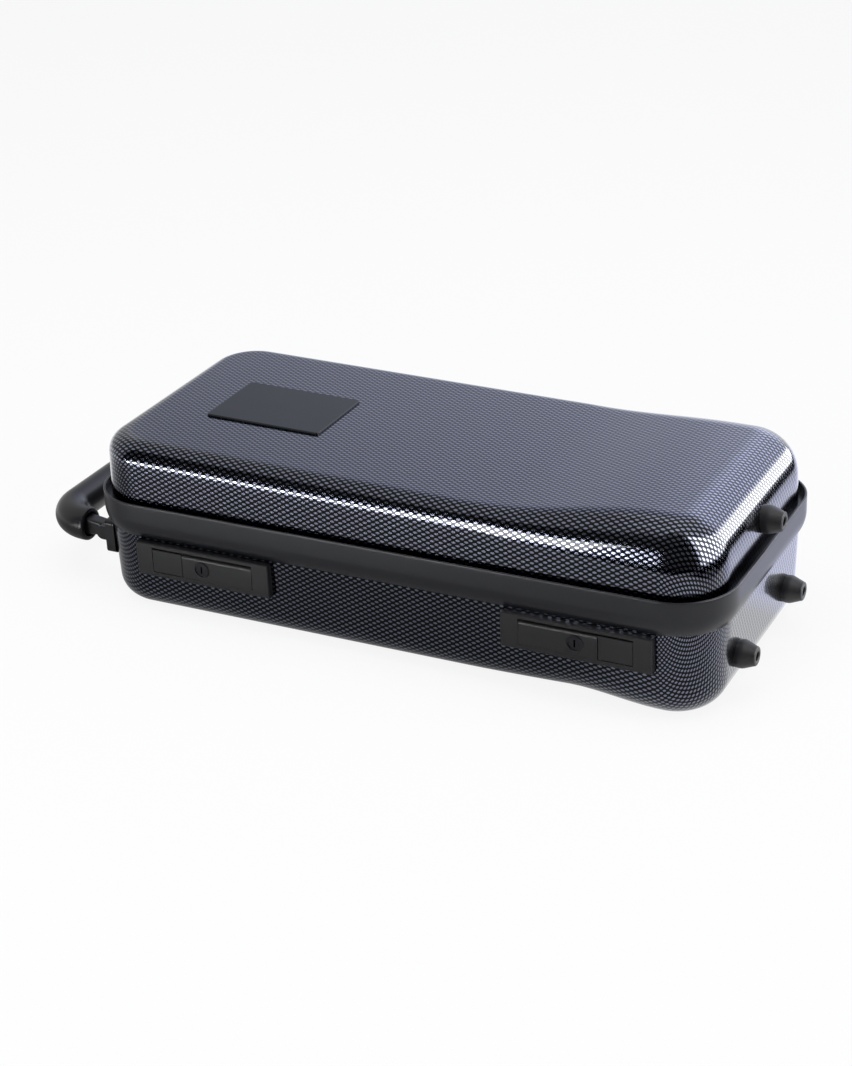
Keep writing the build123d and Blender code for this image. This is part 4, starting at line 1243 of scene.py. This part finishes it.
@dataclass(frozen=True)
class StudioPanel:
    """A soft-edged studio panel that only mirror rays meet: a black flag, or a lit silk where it glows.

    Gloss black is photographed this way: the panels shape what the clear coat mirrors, and leave the
    plain light on the case, and the picture of the background, as they are. The glow runs from its
    fade share at the first end to the whole at the last.
    """

    name: str
    points: Callable[[Array, Array], Array]
    glow: float = 0.0
    fade: float = 1.0
    density: float = 1.0
    soft: float = 0.05
    tint: str = "#ffffff"

    def build(self) -> None:
        """Lay the panel's grid, fade its edges in its own UV, and hide it from camera, diffuse and shadow rays."""
        u, v = np.meshgrid(np.linspace(0, 1, 33), np.linspace(0, 1, 17))
        mesh = bpy.data.meshes.new(self.name)
        quads = grid_quads(np.arange(u.size).reshape(u.shape))
        mesh.from_pydata(self.points(u, v).reshape(-1, 3).tolist(), [], quads.tolist())
        write_uv(mesh, "panel", np.stack([u, v], -1).reshape(-1, 2))
        mesh.materials.append(self.silk())
        panel = put_in_scene(self.name, mesh)
        panel.visible_camera = panel.visible_diffuse = panel.visible_shadow = False

    def silk(self) -> bpy.types.Material:
        """Make its cloth: clear at the edges, and black or lit inside.

        Returns:
            The material, which reads the panel's UV.
        """
        material, tree = start_material(self.name)
        uv = add_node(tree, "ShaderNodeTexCoord").outputs["UV"]
        away = reckon(tree, "SUBTRACT", uv, (0.5, 0.5, 0.0), kind=Sum.VECTOR)
        split = add_node(tree, "ShaderNodeSeparateXYZ", {0: reckon(tree, "ABSOLUTE", away, kind=Sum.VECTOR)})
        far = reckon(tree, "MAXIMUM", split.outputs["X"], split.outputs["Y"])
        cover = span(tree, far, (0.0, self.density), (0.5, 0.5 - self.soft), interpolation_type="SMOOTHSTEP")
        clear = add_node(tree, "ShaderNodeBsdfTransparent")
        along = add_node(tree, "ShaderNodeSeparateXYZ", {0: uv})
        lit = span(tree, along, (self.glow * self.fade, self.glow))
        cloth = add_node(tree, "ShaderNodeEmission", {"Color": colour(self.tint), "Strength": lit})
        close_material(tree, add_node(tree, "ShaderNodeMixShader", {0: cover, 1: clear, 2: cloth}))
        return material


def on_dome(azimuths: tuple[float, float], first: tuple[float, float], last: tuple[float, float],
            radius: float = 2.7) -> Callable[[Array, Array], Array]:
    """A four-sided panel on a dome round the case.

    The point at azimuth a, counted from the latch side towards the bell end, and elevation e is the
    radius times (cos e sin a, -cos e cos a, sin e). The lower and upper edges run straight from the
    first azimuth's elevations to the last's.

    Args:
        azimuths: from and to, in degrees.
        first: lower and upper elevation at the first azimuth, in degrees.
        last: the same at the last azimuth.
        radius: the dome's, in metres.

    Returns:
        A function of the panel's U and V.
    """
    def points(u: Array, v: Array) -> Array:
        """Points of the dome at U and V."""
        a = np.radians(azimuths[0] + (azimuths[1] - azimuths[0]) * u)
        low, high = (first[k] + (last[k] - first[k]) * u for k in (0, 1))
        e = np.radians(low + (high - low) * v)
        return radius * np.stack([np.cos(e) * np.sin(a), -np.cos(e) * np.cos(a), np.sin(e)], -1)
    return points


def on_floor(first: tuple[float, float], last: tuple[float, float], ys: tuple[float, float], slope: float,
             start: float, painted_sheen_share: float = 0.0015) -> Callable[[Array, Array], Array]:
    """A four-sided panel that lies on the leaning floor, with two sides along X.

    Args:
        first: from and to along X on the first side, in metres.
        last: the same on the last side.
        ys: places of the first and last side along Y.
        slope: the floor's fall along X.
        start: where the floor's height is 0.
        painted_sheen_share: height over the floor, so that no two panels share a plane.

    Returns:
        A function of the panel's U and V.
    """
    def points(u: Array, v: Array) -> Array:
        """Points of the floor at U and V."""
        left, right = (first[k] + (last[k] - first[k]) * v for k in (0, 1))
        x, y = left + (right - left) * u, ys[0] + (ys[1] - ys[0]) * v
        return np.stack([x, y, (x - start) * slope + painted_sheen_share], -1)
    return points


def picture_ray(tree: Tree) -> bpy.types.Node:
    """Tell the rays that show a background from those that light the case.

    Args:
        tree: the node tree.

    Returns:
        A node whose output is 1 for camera, glossy and transmission rays, and 0 for others.
    """
    path = add_node(tree, "ShaderNodeLightPath")
    seen = reckon(tree, "MAXIMUM", path.outputs["Is Camera Ray"], path.outputs["Is Glossy Ray"])
    return reckon(tree, "MAXIMUM", seen, path.outputs["Is Transmission Ray"])


@dataclass(frozen=True)
class Studio:
    """Camera, pale floor, pale surroundings and lamps."""

    focal_mm: float = 76.40
    sensor_mm: float = 36.0
    azimuth: float = 27.367
    elevation: float = 26.095
    roll: float = -2.622
    target: tuple[float, float, float] = (-0.01876, 0.0, 0.0427)
    distance: float = 1.53022
    view_end: float = 60.0
    floor_half: float = 9.0
    floor_hex: str = "#f0f0f2"
    floor_white: float = 0.88
    floor_drop: float = 0.0002
    slope: float = -0.0065 / 0.400
    slope_start: float = -0.205
    white_hex: str = "#ffffff"
    light_hex: str = "#c9cbd6"
    light_strength: float = 0.5
    lamps: tuple[Softbox, ...] = (
        Softbox("overhead", (0.2, -0.3, 2.0), (2.0, 1.6), 26.0),
        Softbox("front_fill", (-0.9, -1.9, 0.9), (1.4, 1.0), 16.0),
        Softbox("right_fill", (2.0, 0.2, 0.8), (1.2, 0.9), 12.0),
    )

    def panels(self) -> tuple[StudioPanel, ...]:
        """The flags and silks, on the dome by azimuth and elevation and on the floor by X and Y.

        Returns:
            The panels.
        """
        lean = (self.slope, self.slope_start)
        return (
            StudioPanel("camera_flag", on_dome((-17.0, 66.0), (-1.0, 9.0), (-1.0, 22.0)), density=0.92, soft=0.02),
            StudioPanel("front_flag", on_dome((-60.0, 66.0), (-1.0, 49.0), (20.0, 56.0), 2.65), density=0.9,
                        soft=0.02),
            StudioPanel("corner_flag", on_dome((-36.0, 66.0), (48.0, 80.0), (48.0, 80.0), 2.8), density=0.85),
            StudioPanel("left_flag", on_dome((-142.0, -34.0), (-1.0, 76.0), (-1.0, 76.0), 2.75), density=0.42),
            StudioPanel("back_silk", on_dome((-138.0, -188.0), (-1.0, 56.0), (-1.0, 56.0)), glow=1.75, fade=0.4,
                        tint="#ccd0e2"),
            StudioPanel("crest_silk", on_dome((-230.0, -158.0), (2.0, 60.0), (2.0, 44.0), 2.6), glow=3.0,
                        density=0.75, soft=0.35, tint="#cfd3e8"),
            StudioPanel("front_silk", on_dome((-24.5, -15.5), (-1.0, 3.0), (2.0, 34.0), 2.5), glow=17.0),
            StudioPanel("front_floor_silk", on_floor((-0.8, -0.08), (-2.0, -0.8), (-0.52, -2.55), *lean, 0.004),
                        glow=17.0, soft=0.03),
            StudioPanel("right_silk", on_dome((67.0, 164.0), (0.0, 72.0), (0.0, 6.0), 2.5), glow=6.0, soft=0.07),
            StudioPanel("far_floor_flag", on_floor((-2.6, 2.6), (-2.6, 2.6), (-0.44, -2.6), *lean), soft=0.01),
            StudioPanel("side_floor_flag", on_floor((0.43, 2.6), (0.43, 2.6), (-0.43, 2.4), *lean), soft=0.01),
            # Two black floor sheets before the case, seen only in reflections: they paint the case's shade on the
            # near floor into what its walls mirror.
            StudioPanel("near_floor_shade_flag", on_floor((-0.8, 0.6), (-0.8, 0.6), (0.0, -0.43), *lean), density=0.42,
                        soft=0.3),
            StudioPanel("contact_shadow_flag", on_floor((-0.5, 0.2), (-0.5, 0.2), (0.02, -0.27), *lean, 0.0025),
                        density=0.55, soft=0.15),
            StudioPanel("right_floor_silk", on_floor((0.15, 0.42), (0.15, 0.42), (0.05, 0.9), *lean), glow=1.5,
                        tint="#dcdff4"),
        )

    def camera(self) -> None:
        """Stand the camera where the photograph was taken from."""
        azimuth, elevation, roll = np.radians([self.azimuth, self.elevation, self.roll])
        back = np.array([np.sin(azimuth) * np.cos(elevation), -np.cos(azimuth) * np.cos(elevation),
                         np.sin(elevation)])
        right = np.array([np.cos(azimuth), np.sin(azimuth), 0.0])
        up = np.cross(back, right)
        across = right * np.cos(roll) + up * np.sin(roll)
        above = -right * np.sin(roll) + up * np.cos(roll)
        place = np.array(self.target) + back * self.distance
        data = bpy.data.cameras.new("camera")
        data.lens, data.sensor_width, data.clip_end = self.focal_mm, self.sensor_mm, self.view_end
        camera = put_in_scene("camera", data)
        turn = Matrix(np.stack([across, above, back], axis=1).tolist()).to_4x4()
        camera.matrix_world = Matrix.Translation(place.tolist()) @ turn
        bpy.context.scene.camera = camera

    def floor(self) -> None:
        """Lay the pale floor under the case's two resting lines, so it leans by one degree."""
        half = self.floor_half
        xs, ys = np.meshgrid(np.array([-half, half]), np.array([-half, half]))
        zs = (xs - self.slope_start) * self.slope - self.floor_drop
        mesh = bpy.data.meshes.new("floor")
        mesh.from_pydata(np.stack([xs, ys, zs], -1).reshape(-1, 3).tolist(), [], [(0, 1, 3, 2)])
        material, tree = start_material("studio_floor")
        paint = add_node(tree, "ShaderNodeBsdfPrincipled",
                         {"Base Color": colour(self.floor_hex), "Roughness": 0.9, "Specular IOR Level": 0.1})
        white = add_node(tree, "ShaderNodeEmission", {"Color": colour(self.white_hex), "Strength": 1.0})
        share = reckon(tree, "MULTIPLY", picture_ray(tree), self.floor_white)
        close_material(tree, add_node(tree, "ShaderNodeMixShader", {0: share, 1: paint, 2: white}))
        mesh.materials.append(material)
        put_in_scene("floor", mesh)

    def world(self) -> None:
        """Pale surroundings: white where picture rays meet them, and soft grey as light."""
        world = bpy.data.worlds.new("studio")
        bpy.context.scene.world = world
        world.use_nodes = True
        tree = world.node_tree
        tree.nodes.clear()
        soft = add_node(tree, "ShaderNodeBackground",
                        {"Color": colour(self.light_hex), "Strength": self.light_strength})
        white = add_node(tree, "ShaderNodeBackground", {"Color": colour(self.white_hex), "Strength": 1.0})
        mixed = add_node(tree, "ShaderNodeMixShader", {0: picture_ray(tree), 1: soft, 2: white})
        add_node(tree, "ShaderNodeOutputWorld", {"Surface": mixed})

    def build(self) -> None:
        """Set up the whole studio."""
        self.camera()
        self.floor()
        self.world()
        for thing in (*self.lamps, *self.panels()):
            thing.build()
        bpy.context.scene.view_settings.view_transform = "Standard"


def main() -> None:
    """Build the studio and the case's pieces in order, and report each one."""
    logging.basicConfig(level=logging.INFO, format="%(message)s")
    Studio().build()
    makers = [
        Shell("lid_skin", "lid_shell", "lid", Facing.UP, 5.5, 75.3, (75.3,), LEVELS.lid_top, 14.0, 30.0),
        Shell("base_skin", "base_shell", "base", Facing.DOWN, 4.5, 56.5,
              (66.0, 56.5, 51.45, 45.45, 39.45, 33.45), LEVELS.base_floor, 17.0, 23.0, windows=True),
        RimBand(),
        HandleGrip(),
        RubberFoot(Spot.BASE_FRONT, -46.5, 24.0, 219.4, "base"),
        RubberFoot(Spot.BASE_BACK, 46.5, 24.0, 219.4, "base"),
        RubberFoot(Spot.LID, 0.0, 95.5, 218.8, "lid"),
        FoamInsert(),
        LidPad(),
    ]
    for maker in makers:
        piece = maker.build()
        LOG.info("made %s, %d faces", piece.name, len(piece.data.polygons))
    LOG.info("dressed %d CAD nodes", Fittings().dress(frame["nodes"]))
    for side in ("left", "right"):
        ButtonSpring(side).give()


if __name__ == "__main__":
    main()
